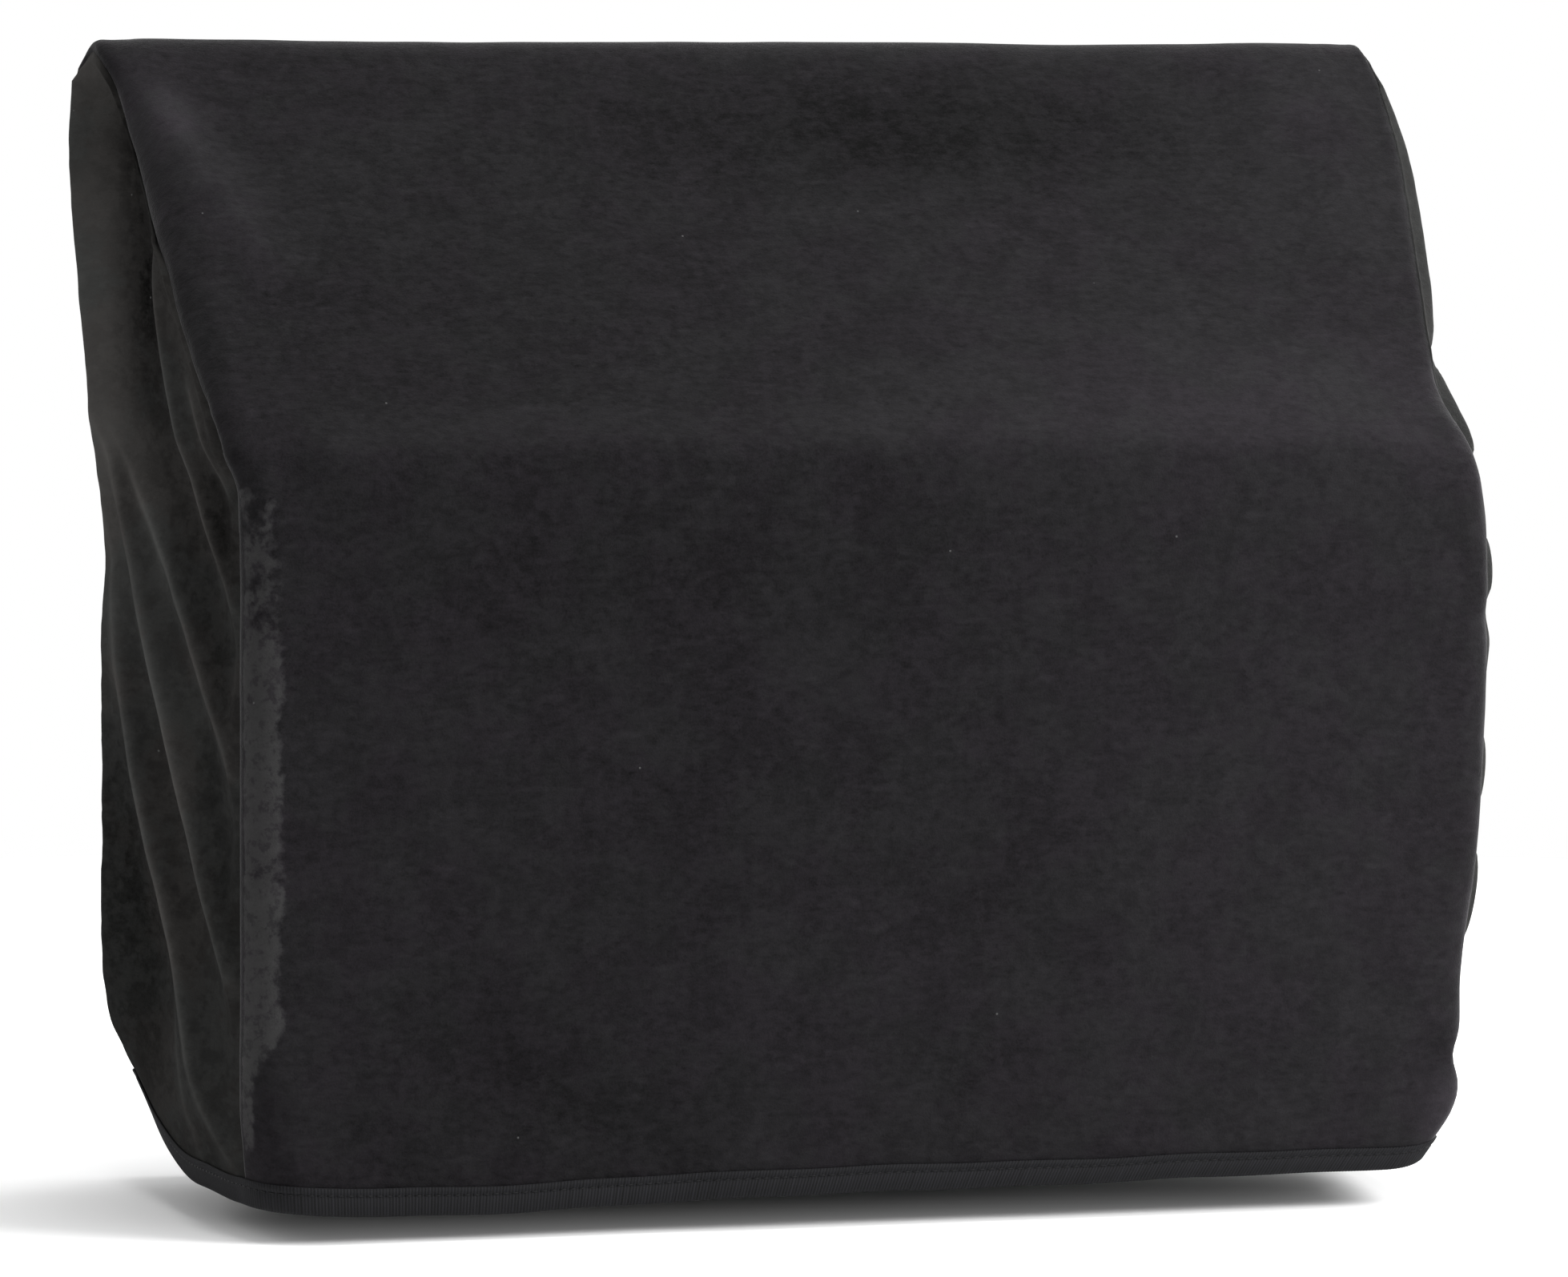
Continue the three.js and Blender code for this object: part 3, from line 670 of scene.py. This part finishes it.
# %% Side painted shading
RIGHT_CREST_PALE, RIGHT_TOP_PALE, RIGHT_TOP_SPAN = 0.05, 0.5, (330, 400)
LEFT_PALE, LEFT_PAINTED_LIMITS = 1.4, (-0.55, 5.5)
HIGH_CREST, HIGH_CREST_PALE, HIGH_CREST_POWER = 11, 0.6, 5
LEAN_DARK, LEAN_LEVEL, LEAN_MOST, LEAN_DEPTHS = 0.8, 0.1, 0.5, (20, 45)
REAR_PALE, REAR_DEPTHS, REAR_HEIGHTS = 3.0, (165, 198), (130, 300)
LOW_DARK, LOW_SPAN = 0.35, (60, 220)
NEAR_DARK, NEAR_DEPTHS = 0.12, (20, 70)


def right_painted_shading(height, creases):
    """The right gusset is plain: painted highlights make its crests and its top a little paler."""
    return RIGHT_CREST_PALE * creases + RIGHT_TOP_PALE * ease(height, *RIGHT_TOP_SPAN)


def left_painted_shading(depth, height, lean, creases):
    """Painted shade on flanks that face forward, low down and near the front seam; painted highlights on
    crests and painted light towards the upper back.
    """
    leaning = np.clip(lean - LEAN_LEVEL, -LEAN_MOST, LEAN_MOST) * ease(depth, *LEAN_DEPTHS)
    painted_shading = LEFT_PALE + HIGH_CREST_PALE * (creases / HIGH_CREST) ** HIGH_CREST_POWER - LEAN_DARK * leaning
    painted_shading += REAR_PALE * ease(depth, *REAR_DEPTHS) * ease(height, *REAR_HEIGHTS)
    painted_shading += painted_areas(SIDE_PAINTED_AREAS, depth, height)
    painted_shading += fold_rise(SIDE_STREAKS, depth, height, STREAK_ROUND)
    painted_shading += fold_rise(CREST_HIGHLIGHTS, depth, height, CREST_LINE_ROUND)
    painted_shading -= LOW_DARK * (1 - ease(height, *LOW_SPAN)) + NEAR_DARK * (1 - ease(depth, *NEAR_DEPTHS))
    return np.clip(painted_shading, *LEFT_PAINTED_LIMITS)


print("left nap kept within", LEFT_PAINTED_LIMITS)

# %% [markdown]
# ## The gussets
# The two sides are made by one function, so they differ only in their tables; a mirrored copy would be
# quicker, but slack cloth never hangs the same on both sides. How far a place leans towards the front is
# measured by asking the surface for a second point just behind it. The right gusset hardly shows from the
# front and gets a coarser grid.

# %% Side panels
LEAN_STEP = 0.004
SIDE_CROWDING, SIDE_ROWS = 0.6, 600
SIDE_UNEVEN = (0.9, 60.0, 7.0), (0.4, 22.0, 2.0)
side_rows = np.linspace(0, section_count - 1, SIDE_ROWS)
back_length = np.interp(side_rows, fine_places, strip_length)
front_length = strip_length[-1] - np.interp(LAST_ROW - side_rows, fine_places, strip_length)
side_length = (back_length + front_length) / 2


def side_panel(name, side, across_steps, along_steps):
    """Lays the gusset of one side, -1 for left and 1 for right."""
    grid, shares = flat_grid(across_steps, along_steps)
    across = closer_at_edges(shares[:, 0], SIDE_CROWDING)
    run = shares[:, 1] * side_length[-1]
    row = np.interp(run, side_length, side_rows)
    points, to_seam = side_surface(side, row, across)
    creases = fold_rise(SIDE_FOLDS[side], points[:, 1], points[:, 2], SIDE_CREST_ROUND)
    further = side_surface(side, row, across + LEAN_STEP)[0] - points
    lean = side * further[:, 0] / further[:, 1]
    relief = uneven(points, SIDE_UNEVEN) * ease(to_seam, 0, EDGE_HOLD) + seam_relief(points, to_seam)
    points[:, 0] += side * relief * ease(run, *HEM_CALM)
    depth, height = points[:, 1], points[:, 2]
    painted_shading = left_painted_shading(depth, height, lean, creases) if side < 0 else right_painted_shading(height, creases)
    measures = np.stack([depth, run], axis=1) * MM
    painted_fields = {"wear_and_highlight_strip": np.zeros(len(run)), "painted_shading": painted_shading}
    return finish_panel(name, grid, points, measures, side < 0, CLOTH, painted_fields)


left_side = side_panel("left_side_velour", -1, across_steps=150, along_steps=270)
right_side = side_panel("right_side_velour", 1, across_steps=80, along_steps=190)

# %% [markdown]
# ## The hem's path
# The binding follows the lower edge of all three panels in one loop. Sampling each panel's bottom edge
# and joining the samples gives the loop, and walking along it in equal steps keeps the ribs evenly
# spaced. Each step also needs to know which way is up the cloth and which way is out; a curve with a
# bevel profile would find its own way and could twist at the corners.

# %% Hem path
RIB_PITCH = 1.2
STEPS_PER_RIB = 4
LEG = 9.5
HEM_SAMPLES, HEM_ROUNDING = 260, 12


def hem_at(rise):
    """The loop of the panels' surface at a height above the hem, in rows of the section table."""
    share = np.linspace(0, 1, HEM_SAMPLES, endpoint=False)
    rows = np.full(HEM_SAMPLES, rise)
    front = wrap_surface(LAST_ROW - rows, share)[0]
    right = side_surface(1, rows, share)[0]
    back = wrap_surface(rows, 1 - share)[0]
    left = side_surface(-1, rows, 1 - share)[0]
    return np.vstack([front, right, back, left])


def walk(loop, count, lengths):
    """Points at equal steps round a loop, by the lengths of the lowest loop."""
    closed = np.vstack([loop, loop[:1]])
    steps = np.linspace(0, lengths[-1], count, endpoint=False)
    return np.stack([np.interp(steps, lengths, closed[:, i]) for i in range(3)], axis=1)


def soften(loop, rounds):
    """Rounds the small corners of a closed loop."""
    for _ in range(rounds):
        loop = loop / 2 + (np.roll(loop, 1, axis=0) + np.roll(loop, -1, axis=0)) / 4
    return loop


hem_edge = soften(hem_at(0.0), HEM_ROUNDING)
leg_in_rows = LEG / (SECTIONS["height"][1] - SECTIONS["height"][0])
hem_above = soften(hem_at(leg_in_rows), HEM_ROUNDING)
closed_edge = np.vstack([hem_edge, hem_edge[:1]])
hem_lengths = np.concatenate([[0], np.cumsum(np.linalg.norm(np.diff(closed_edge, axis=0), axis=1))])
rib_count = round(hem_lengths[-1] / RIB_PITCH)
hem_steps = rib_count * STEPS_PER_RIB
edge_line = walk(hem_edge, hem_steps, hem_lengths)
above_line = walk(hem_above, hem_steps, hem_lengths)
hem_up = unit(above_line - edge_line)
hem_along = unit(np.roll(edge_line, -1, axis=0) - np.roll(edge_line, 1, axis=0))
hem_out = unit(np.cross(hem_along, hem_up))
print("hem", round(hem_lengths[-1]), "mm,", rib_count, "ribs; first step faces", hem_out[0].round(2))

# %% [markdown]
# ## The ribbed ribbon
# The binding is a grosgrain ribbon: stout threads run across it and show as fine ribs. It is folded
# over the raw edge and sewn through. The ribs are real relief here, because bump alone would leave the
# ribbon's lower edge perfectly smooth. One row of the fold's section sinks a little under the stitches.

# %% Ribbon
RIBBON = 0.7
RIBBON_OFF = 1.0
RIB_RELIEF = 0.24
STITCH_HEIGHT, STITCH_PULL = 6.5, 0.45
WAVER, WAVER_COUNT = 0.25, 23
FOLD_ROW_WIDTH = 2.4
SAME_POINT = 1e-6
# Height above the cloth's edge, distance out from the outer face, and how much the ribs show
RIBBON_FOLD = table(
    "height out ribs",
    (LEG, 0.95, 1.0),
    (7.3, RIBBON_OFF, 1.0),
    (STITCH_HEIGHT, RIBBON_OFF - STITCH_PULL, 0.5),
    (5.7, RIBBON_OFF, 1.0),
    (0.2, RIBBON_OFF, 1.0),
    (-1.0, 0.5, 1.0),
    (-1.3, -0.8, 0.6),
    (-1.0, -2.1, 0.3),
    (0.4, -CLOTH - RIBBON_OFF, 0.2),
    (LEG, -CLOTH - RIBBON_OFF, 0.2),
)
fold_points = len(RIBBON_FOLD["height"])
grid, shares = flat_grid(fold_points - 1, hem_steps)
fold_index = np.rint(shares[:, 0] * (fold_points - 1)).astype(int)
step_index = np.rint(shares[:, 1] * hem_steps).astype(int)
rib = 0.5 + 0.5 * np.cos(2 * math.pi * step_index / STEPS_PER_RIB)
here = step_index % hem_steps
out_by = RIBBON_FOLD["out"][fold_index] + RIB_RELIEF * rib * RIBBON_FOLD["ribs"][fold_index]
up_by = RIBBON_FOLD["height"][fold_index] + WAVER * np.sin(2 * math.pi * here / hem_steps * WAVER_COUNT)
ribbon_points = edge_line[here] + hem_out[here] * out_by[:, None] + hem_up[here] * up_by[:, None]
ribbon_run = step_index * RIB_PITCH / STEPS_PER_RIB
ribbon_measures = np.stack([fold_index * FOLD_ROW_WIDTH, ribbon_run], axis=1) * MM
ribbon = finish_panel("hem_ribbon", grid, ribbon_points, ribbon_measures, False, RIBBON)

closing = bmesh.new()
closing.from_mesh(ribbon.data)
bmesh.ops.remove_doubles(closing, verts=closing.verts, dist=SAME_POINT)
closing.to_mesh(ribbon.data)
closing.free()
print("ribbon closed:", len(ribbon.data.vertices), "points")

# %% [markdown]
# ## Stitches
# One row of lockstitch holds the binding. Each stitch is a short thread that dips into the cloth at
# both ends, so a stretched low-resolution ball is enough: a few dozen faces, repeated along the hem.

# %% Stitches
STITCH_PITCH = 3.6
STITCH_HALF = 1.35
THREAD, THREAD_SINKS = 0.38, 0.3
stitch_count = round(hem_lengths[-1] / STITCH_PITCH)
threads = bmesh.new()
for number in range(stitch_count):
    step = round((number + 0.5) / stitch_count * hem_steps) % hem_steps
    thread_out = RIBBON_OFF - THREAD_SINKS
    middle = edge_line[step] + hem_up[step] * STITCH_HEIGHT + hem_out[step] * thread_out
    axes = [hem_out[step] * THREAD, hem_up[step] * THREAD, hem_along[step] * STITCH_HALF]
    place = Matrix(np.array(axes).T * MM).to_4x4()
    place.translation = Vector(to_frame(middle))
    bmesh.ops.create_uvsphere(threads, u_segments=6, v_segments=4, radius=1, matrix=place)
bmesh.ops.recalc_face_normals(threads, faces=threads.faces)
for face in threads.faces:
    face.smooth = True
stitches = mesh_object("hem_stitches", threads)
print(stitch_count, "stitches,", len(stitches.data.polygons), "faces")

# %% [markdown]
# ## Writing shaders as sums
# A finish is a small network of nodes. Drawn with the mouse it soon becomes hard to read, so a socket
# is wrapped here in a class whose + - and * add Math nodes: a mask then reads as it would on paper. Most
# tones are a start with several layers of clouds, each with its own weight, added about its middle.

# %% Shader helpers
class Amount:
    """A value or colour that changes over a surface."""

    def __init__(self, finish, socket):
        self.finish, self.socket = finish, socket

    def math(self, operation, first, second):
        return self.finish.node("ShaderNodeMath", {"operation": operation}, {0: first, 1: second})

    def __add__(self, other):
        return self.math("ADD", self, other)

    def __sub__(self, other):
        return self.math("SUBTRACT", self, other)

    def __rsub__(self, other):
        return self.math("SUBTRACT", other, self)

    def __mul__(self, other):
        return self.math("MULTIPLY", self, other)

    __radd__, __rmul__ = __add__, __mul__


class Finish:
    """The nodes of a material or of the sky."""

    def __init__(self, owner):
        owner.use_nodes = True
        self.owner, self.tree = owner, owner.node_tree
        self.tree.nodes.clear()

    def node(self, kind, settings, sockets, out=0):
        """Adds a node, sets it up, fills its sockets with values or links and gives one output."""
        made = self.tree.nodes.new(kind)
        for name, value in settings.items():
            setattr(made, name, value)
        for name, value in sockets.items():
            if isinstance(value, Amount):
                self.tree.links.new(value.socket, made.inputs[name])
            else:
                made.inputs[name].default_value = value
        return Amount(self, made.outputs[out]) if made.outputs else None

    def cloth_map(self, stretch=(1, 1, 1)):
        """Metres along and across the cloth, stretched."""
        measured = self.node("ShaderNodeUVMap", {"uv_map": "cloth"}, {})
        return self.node("ShaderNodeMapping", {}, {"Vector": measured, "Scale": stretch})

    def clouds(self, where, scale, detail=2.0, roughness=0.5):
        """Soft noise between 0 and 1."""
        sockets = {"Vector": where, "Scale": scale, "Detail": detail, "Roughness": roughness}
        return self.node("ShaderNodeTexNoise", {}, sockets)

    def soft_step(self, value, low, high):
        """0 below low, 1 above high and a soft change between."""
        sockets = {"Value": value, "From Min": low, "From Max": high}
        return self.node("ShaderNodeMapRange", {"interpolation_type": "SMOOTHSTEP"}, sockets)

    def blend(self, amount, first, second, how="MIX"):
        """One colour laid over another by an amount."""
        settings = {"data_type": "RGBA", "blend_type": how}
        return self.node("ShaderNodeMix", settings, {0: amount, 6: first, 7: second}, 2)

    def surface(self, sockets):
        """Ends the network in a Principled shader with these sockets."""
        shader = self.node("ShaderNodeBsdfPrincipled", {}, sockets)
        self.node("ShaderNodeOutputMaterial", {}, {"Surface": shader})


CLOUD_MIDDLE = 0.5


def toned(start, *layers):
    """A tone that layers of clouds make darker and lighter, each by its weight."""
    for weight, layer in layers:
        start = start + weight * (layer - CLOUD_MIDDLE)
    return start


print("shader helpers ready")

# %% [markdown]
# ## Velour
# Velour is a knit with a short cut pile. The pile leans one way, so a hand that brushes it leaves
# lighter and darker clouds, and the pale strip down the front's left edge is partly worn pile and partly a
# painted highlight. The painted light and shade kept on the panels' points is added to the tone. Hair
# particles would show every fibre but are far too heavy for a part; colour clouds, a fine bump and some
# sheen do it. The left gusset is seen at a flat angle, where any gloss would turn it grey, so its pile
# has none.

# %% Velour finish
# Scale, detail and roughness of the clouds, from the widest to single tufts of pile
DRIFT, PATCHES, MOTTLE = (26, 3, 0.5), (75, 3, 0.6), (240, 3, 0.65)
STREAKS, STREAK_STRETCH = (420, 2, 0.6), (0.5, 1.0, 1.0)
CRUSH, CRUSH_STRETCH, CRUSH_STEP, CRUSH_PALE = (150, 2), (0.35, 1.0, 1.0), (0.58, 0.72), 0.2
PILE = (1300, 2, 0.7)
BLOTCH_STEP = (0.42, 0.58)
# Tint and paleness of the front's left strip: partly wear, partly a painted highlight
WEAR_HIGHLIGHT_TINT, WEAR_HIGHLIGHT_PALE, WEAR_HIGHLIGHT_FADE = (0.0094, 0.0094, 0.0093, 1), 2.0, 0.8
WEAR_HIGHLIGHT_STEP, WEAR_HIGHLIGHT_SPECKS, WEAR_HIGHLIGHT_LEAST = (0.45, 0.85), (0.38, 0.5), 0.6
LINT_TINT, LINT_SHOWS, LINT_CELLS, LINT_SIZES = (0.11, 0.11, 0.11, 1), 0.5, 38.0, (0.012, 0.02)


def velour_finish(name, tint, other_tint, stretch, blotching, sheen, shine):
    """Cut pile in two close tints, with its clouds stretched, and more or less blotched and shiny."""
    finish = Finish(bpy.data.materials.new(name))
    spot = finish.node("ShaderNodeTexCoord", {}, {}, "Object")
    place = finish.node("ShaderNodeMapping", {}, {"Vector": spot, "Scale": stretch})
    layers = DRIFT, PATCHES, MOTTLE, PILE
    drift, patches, mottle, pile = (finish.clouds(place, *layer) for layer in layers)
    streaks = finish.clouds(finish.cloth_map(STREAK_STRETCH), *STREAKS)
    crush = finish.soft_step(finish.clouds(finish.cloth_map(CRUSH_STRETCH), *CRUSH), *CRUSH_STEP)
    # Painted light and shade from the panels, and the strip that is partly wear and partly a painted
    # highlight
    painted_shading = finish.node("ShaderNodeAttribute", {"attribute_name": "painted_shading"}, {}, "Fac")
    wear_and_highlight_strip = finish.node("ShaderNodeAttribute", {"attribute_name": "wear_and_highlight_strip"}, {}, "Fac")

    ragged = finish.soft_step(toned(wear_and_highlight_strip, (1.1, patches), (0.7, mottle)), *WEAR_HIGHLIGHT_STEP)
    wear_and_highlight = ragged * (WEAR_HIGHLIGHT_LEAST + (1 - WEAR_HIGHLIGHT_LEAST) * finish.soft_step(mottle, *WEAR_HIGHLIGHT_SPECKS))
    blotch = finish.soft_step(toned(patches, (0.6, mottle)), *BLOTCH_STEP)
    tone = toned(1, (0.5, drift), (0.35, patches), (0.8, mottle), (0.9, streaks), (1.0, pile))
    tone = toned(tone, (blotching, blotch)) + painted_shading + CRUSH_PALE * crush + WEAR_HIGHLIGHT_PALE * wear_and_highlight
    lint = finish.node("ShaderNodeTexVoronoi", {}, {"Vector": place, "Scale": LINT_CELLS}, "Distance")
    fleck = 1 - finish.soft_step(lint, *LINT_SIZES)

    dyed = finish.blend(finish.soft_step(toned(drift, (0.4, mottle)), *BLOTCH_STEP), tint, other_tint)
    strip_tinted = finish.blend(WEAR_HIGHLIGHT_FADE * wear_and_highlight, dyed, WEAR_HIGHLIGHT_TINT)
    shade = finish.blend(1.0, strip_tinted, tone, "MULTIPLY")
    tufts = {"Height": pile + 0.6 * streaks + 0.8 * mottle, "Strength": 0.4, "Distance": 0.0006}
    finish.surface({
        "Base Color": finish.blend(LINT_SHOWS * fleck, shade, LINT_TINT),
        "Roughness": 0.9,
        "Specular IOR Level": shine,
        "Sheen Weight": sheen,
        "Sheen Roughness": 0.25,
        "Normal": finish.node("ShaderNodeBump", {}, tufts),
    })
    return finish.owner


wrap_tints = (0.0098, 0.0086, 0.0102, 1), (0.0092, 0.0087, 0.0096, 1)
side_tints = (0.0098, 0.0094, 0.0090, 1), (0.0090, 0.0091, 0.0088, 1)
wrap_look = dict(stretch=(1, 1, 1), blotching=0.12, sheen=0.11, shine=0.1)
left_look = dict(stretch=(1, 0.45, 1), blotching=0.4, sheen=0.015, shine=0.0)
right_look = dict(stretch=(1, 0.8, 1), blotching=0.12, sheen=0.03, shine=0.1)
wrap_velour = velour_finish("wrap_velour", *wrap_tints, **wrap_look)
left_velour = velour_finish("left_velour", *side_tints, **left_look)
right_velour = velour_finish("right_velour", *side_tints, **right_look)
wrap.data.materials.append(wrap_velour)
left_side.data.materials.append(left_velour)
right_side.data.materials.append(right_velour)
print("velour on", [m.name for m in (wrap_velour, left_velour, right_velour)])

# %% [markdown]
# ## Ribbon and thread
# The ribbon is matt and a little bluer than the velour. Its ribs are modelled, and the finish adds painted
# shade in the valleys between them, the slight difference from rib to rib and the fine threads along them.
# An image of a weave could be laid on instead, but it would have to be very large to stay sharp. The
# sewing thread is smoother.

# %% Ribbon and thread finish
RIBBON_TINT, THREAD_TINT = (0.0055, 0.0054, 0.0068, 1), (0.0022, 0.0022, 0.0028, 1)
RIB_STRETCH = (0.02, 1, 1)
# Radians that a wave texture turns in one unit at scale 1
WAVE_TURN = 20
ribbon_finish = Finish(bpy.data.materials.new("ribbon_weave"))
ribbon_place = ribbon_finish.cloth_map()
rib_tone = ribbon_finish.clouds(ribbon_finish.cloth_map(RIB_STRETCH), 700, 1)
ribbon_wear = ribbon_finish.clouds(ribbon_place, 60, 3, 0.6)
weft = ribbon_finish.clouds(ribbon_place, 3200, 1)
rib_scale = math.tau / (WAVE_TURN * RIB_PITCH * MM)
rib_shade_bands = {"Vector": ribbon_place, "Scale": rib_scale, "Phase Offset": math.pi}
# The wave darkens the valleys between the modelled ribs: painted shade
ribs = ribbon_finish.node("ShaderNodeTexWave", {"bands_direction": "Y"}, rib_shade_bands, "Fac")
ribbon_tone = toned(0.85, (0.9, ribs), (1.5, rib_tone), (0.5, ribbon_wear), (0.4, weft))
weave = {"Height": weft, "Strength": 0.3, "Distance": 0.0002}
ribbon_finish.surface({
    "Base Color": ribbon_finish.blend(1.0, RIBBON_TINT, ribbon_tone, "MULTIPLY"),
    "Roughness": 0.75,
    "Specular IOR Level": 0.2,
    "Normal": ribbon_finish.node("ShaderNodeBump", {}, weave),
})
ribbon.data.materials.append(ribbon_finish.owner)

thread_finish = Finish(bpy.data.materials.new("sewing_thread"))
thread_place = thread_finish.node("ShaderNodeTexCoord", {}, {}, "Object")
thread_tone = toned(1, (0.8, thread_finish.clouds(thread_place, 900, 1)))
thread_finish.surface({
    "Base Color": thread_finish.blend(1.0, THREAD_TINT, thread_tone, "MULTIPLY"),
    "Roughness": 0.6,
    "Specular IOR Level": 0.25,
})
stitches.data.materials.append(thread_finish.owner)
print("ribbon and thread ready")

# %% [markdown]
# ## Floor and sky
# The floor is plain and pale, and the sky is plain white, so the floor runs out of sight without a
# horizon. In front of the hem the floor glows faintly, and the glow fades out under the cover and towards
# the edge of the disc. A fill lamp low in front would lift the shadow as well, but it would also light the
# cloth, which has to stay dark.

# %% Floor and sky
FLOOR_BELOW = 0.4419
FLOOR_REACH = 1.4
FLOOR_GLOW, GLOW_SPAN = 0.22, (0.09, 0.25, 0.3, 0.45)
SKY_LIGHT = 0.5

floor_bm = bmesh.new()
lower = Matrix.Translation((0, 0, -FLOOR_BELOW))
bmesh.ops.create_circle(floor_bm, cap_ends=True, segments=96, radius=FLOOR_REACH, matrix=lower)
floor = mesh_object("floor", floor_bm)
floor_finish = Finish(bpy.data.materials.new("pale_floor"))
floor_spot = floor_finish.node("ShaderNodeTexCoord", {}, {}, "Object")
to_front = 0 - floor_finish.node("ShaderNodeSeparateXYZ", {}, {"Vector": floor_spot}, "Y")
glow_in = floor_finish.soft_step(to_front, *GLOW_SPAN[:2])
glow_out = floor_finish.soft_step(to_front, *GLOW_SPAN[2:])
floor_finish.surface({
    "Base Color": (0.9, 0.9, 0.9, 1),
    "Roughness": 0.9,
    "Specular IOR Level": 0.0,
    "Emission Color": glow_in * (1 - glow_out),
    "Emission Strength": FLOOR_GLOW,
})
floor.data.materials.append(floor_finish.owner)

sky = Finish(bpy.data.worlds.new("white_studio"))
seen = sky.node("ShaderNodeLightPath", {}, {}, "Is Camera Ray")
glow = sky.node("ShaderNodeBackground", {}, {"Color": (1, 1, 1, 1), "Strength": SKY_LIGHT})
white = sky.node("ShaderNodeBackground", {}, {"Color": (1, 1, 1, 1), "Strength": 1.0})
both = sky.node("ShaderNodeMixShader", {}, {0: seen, 1: glow, 2: white})
sky.node("ShaderNodeOutputWorld", {}, {"Surface": both})
bpy.context.scene.world = sky.owner
print("floor", FLOOR_BELOW, "m below the ridge")

# %% [markdown]
# ## Lamps
# A soft box high on the right lightens the slope and leaves the left gusset darker, along with its painted
# shade; the pale lines on its crests are painted highlights. A wide one overhead makes the soft shadow
# below the hem. Two more stand behind the cover, a weak one on the left and a stronger one on the right,
# and draw its edges, beside a painted highlight rim down the front's right edge. Light from the sky alone
# would hide the folds.

# %% Lamps
AIM = Vector((0.0, -0.1, -0.2))
# Place, size across and watts
LAMPS = {
    "key": ((1.1, -1.1, 0.5), 0.8, 30),
    "top": ((0.2, -0.2, 2.2), 2.0, 60),
    "left": ((-1.5, 1.0, 0.6), 1.0, 8),
    "right": ((1.6, 0.9, 0.3), 1.0, 26),
}


def lamp(name, place, size, watts):
    """A round soft box that looks at the cover."""
    data = bpy.data.lights.new(name, "AREA")
    data.shape, data.size, data.energy = "DISK", size, watts
    made = placed(name, data)
    made.location, made.visible_camera = place, False
    made.rotation_euler = (AIM - Vector(place)).to_track_quat("-Z", "Y").to_euler()
    print(name, "lamp at", place)


for lamp_name, lamp_values in LAMPS.items():
    lamp(lamp_name, *lamp_values)

bpy.context.scene.view_settings.view_transform = "Standard"
bpy.context.scene.view_settings.look = "None"
print("view transform", bpy.context.scene.view_settings.view_transform)

# %% [markdown]
# ## Putting each piece on its body
# Each panel stands for one solid of the frame, whose own mesh is hidden, and rides on its only body.

stands_for = {
    wrap: ("wrap_panel", "velour"),
    left_side: ("left_side_panel", "velour"),
    right_side: ("right_side_panel", "velour"),
    ribbon: ("hem_binding", "ribbon"),
}
for piece, (node, slot) in stands_for.items():
    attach(piece, "root")
    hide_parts(node)
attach(stitches, "root")
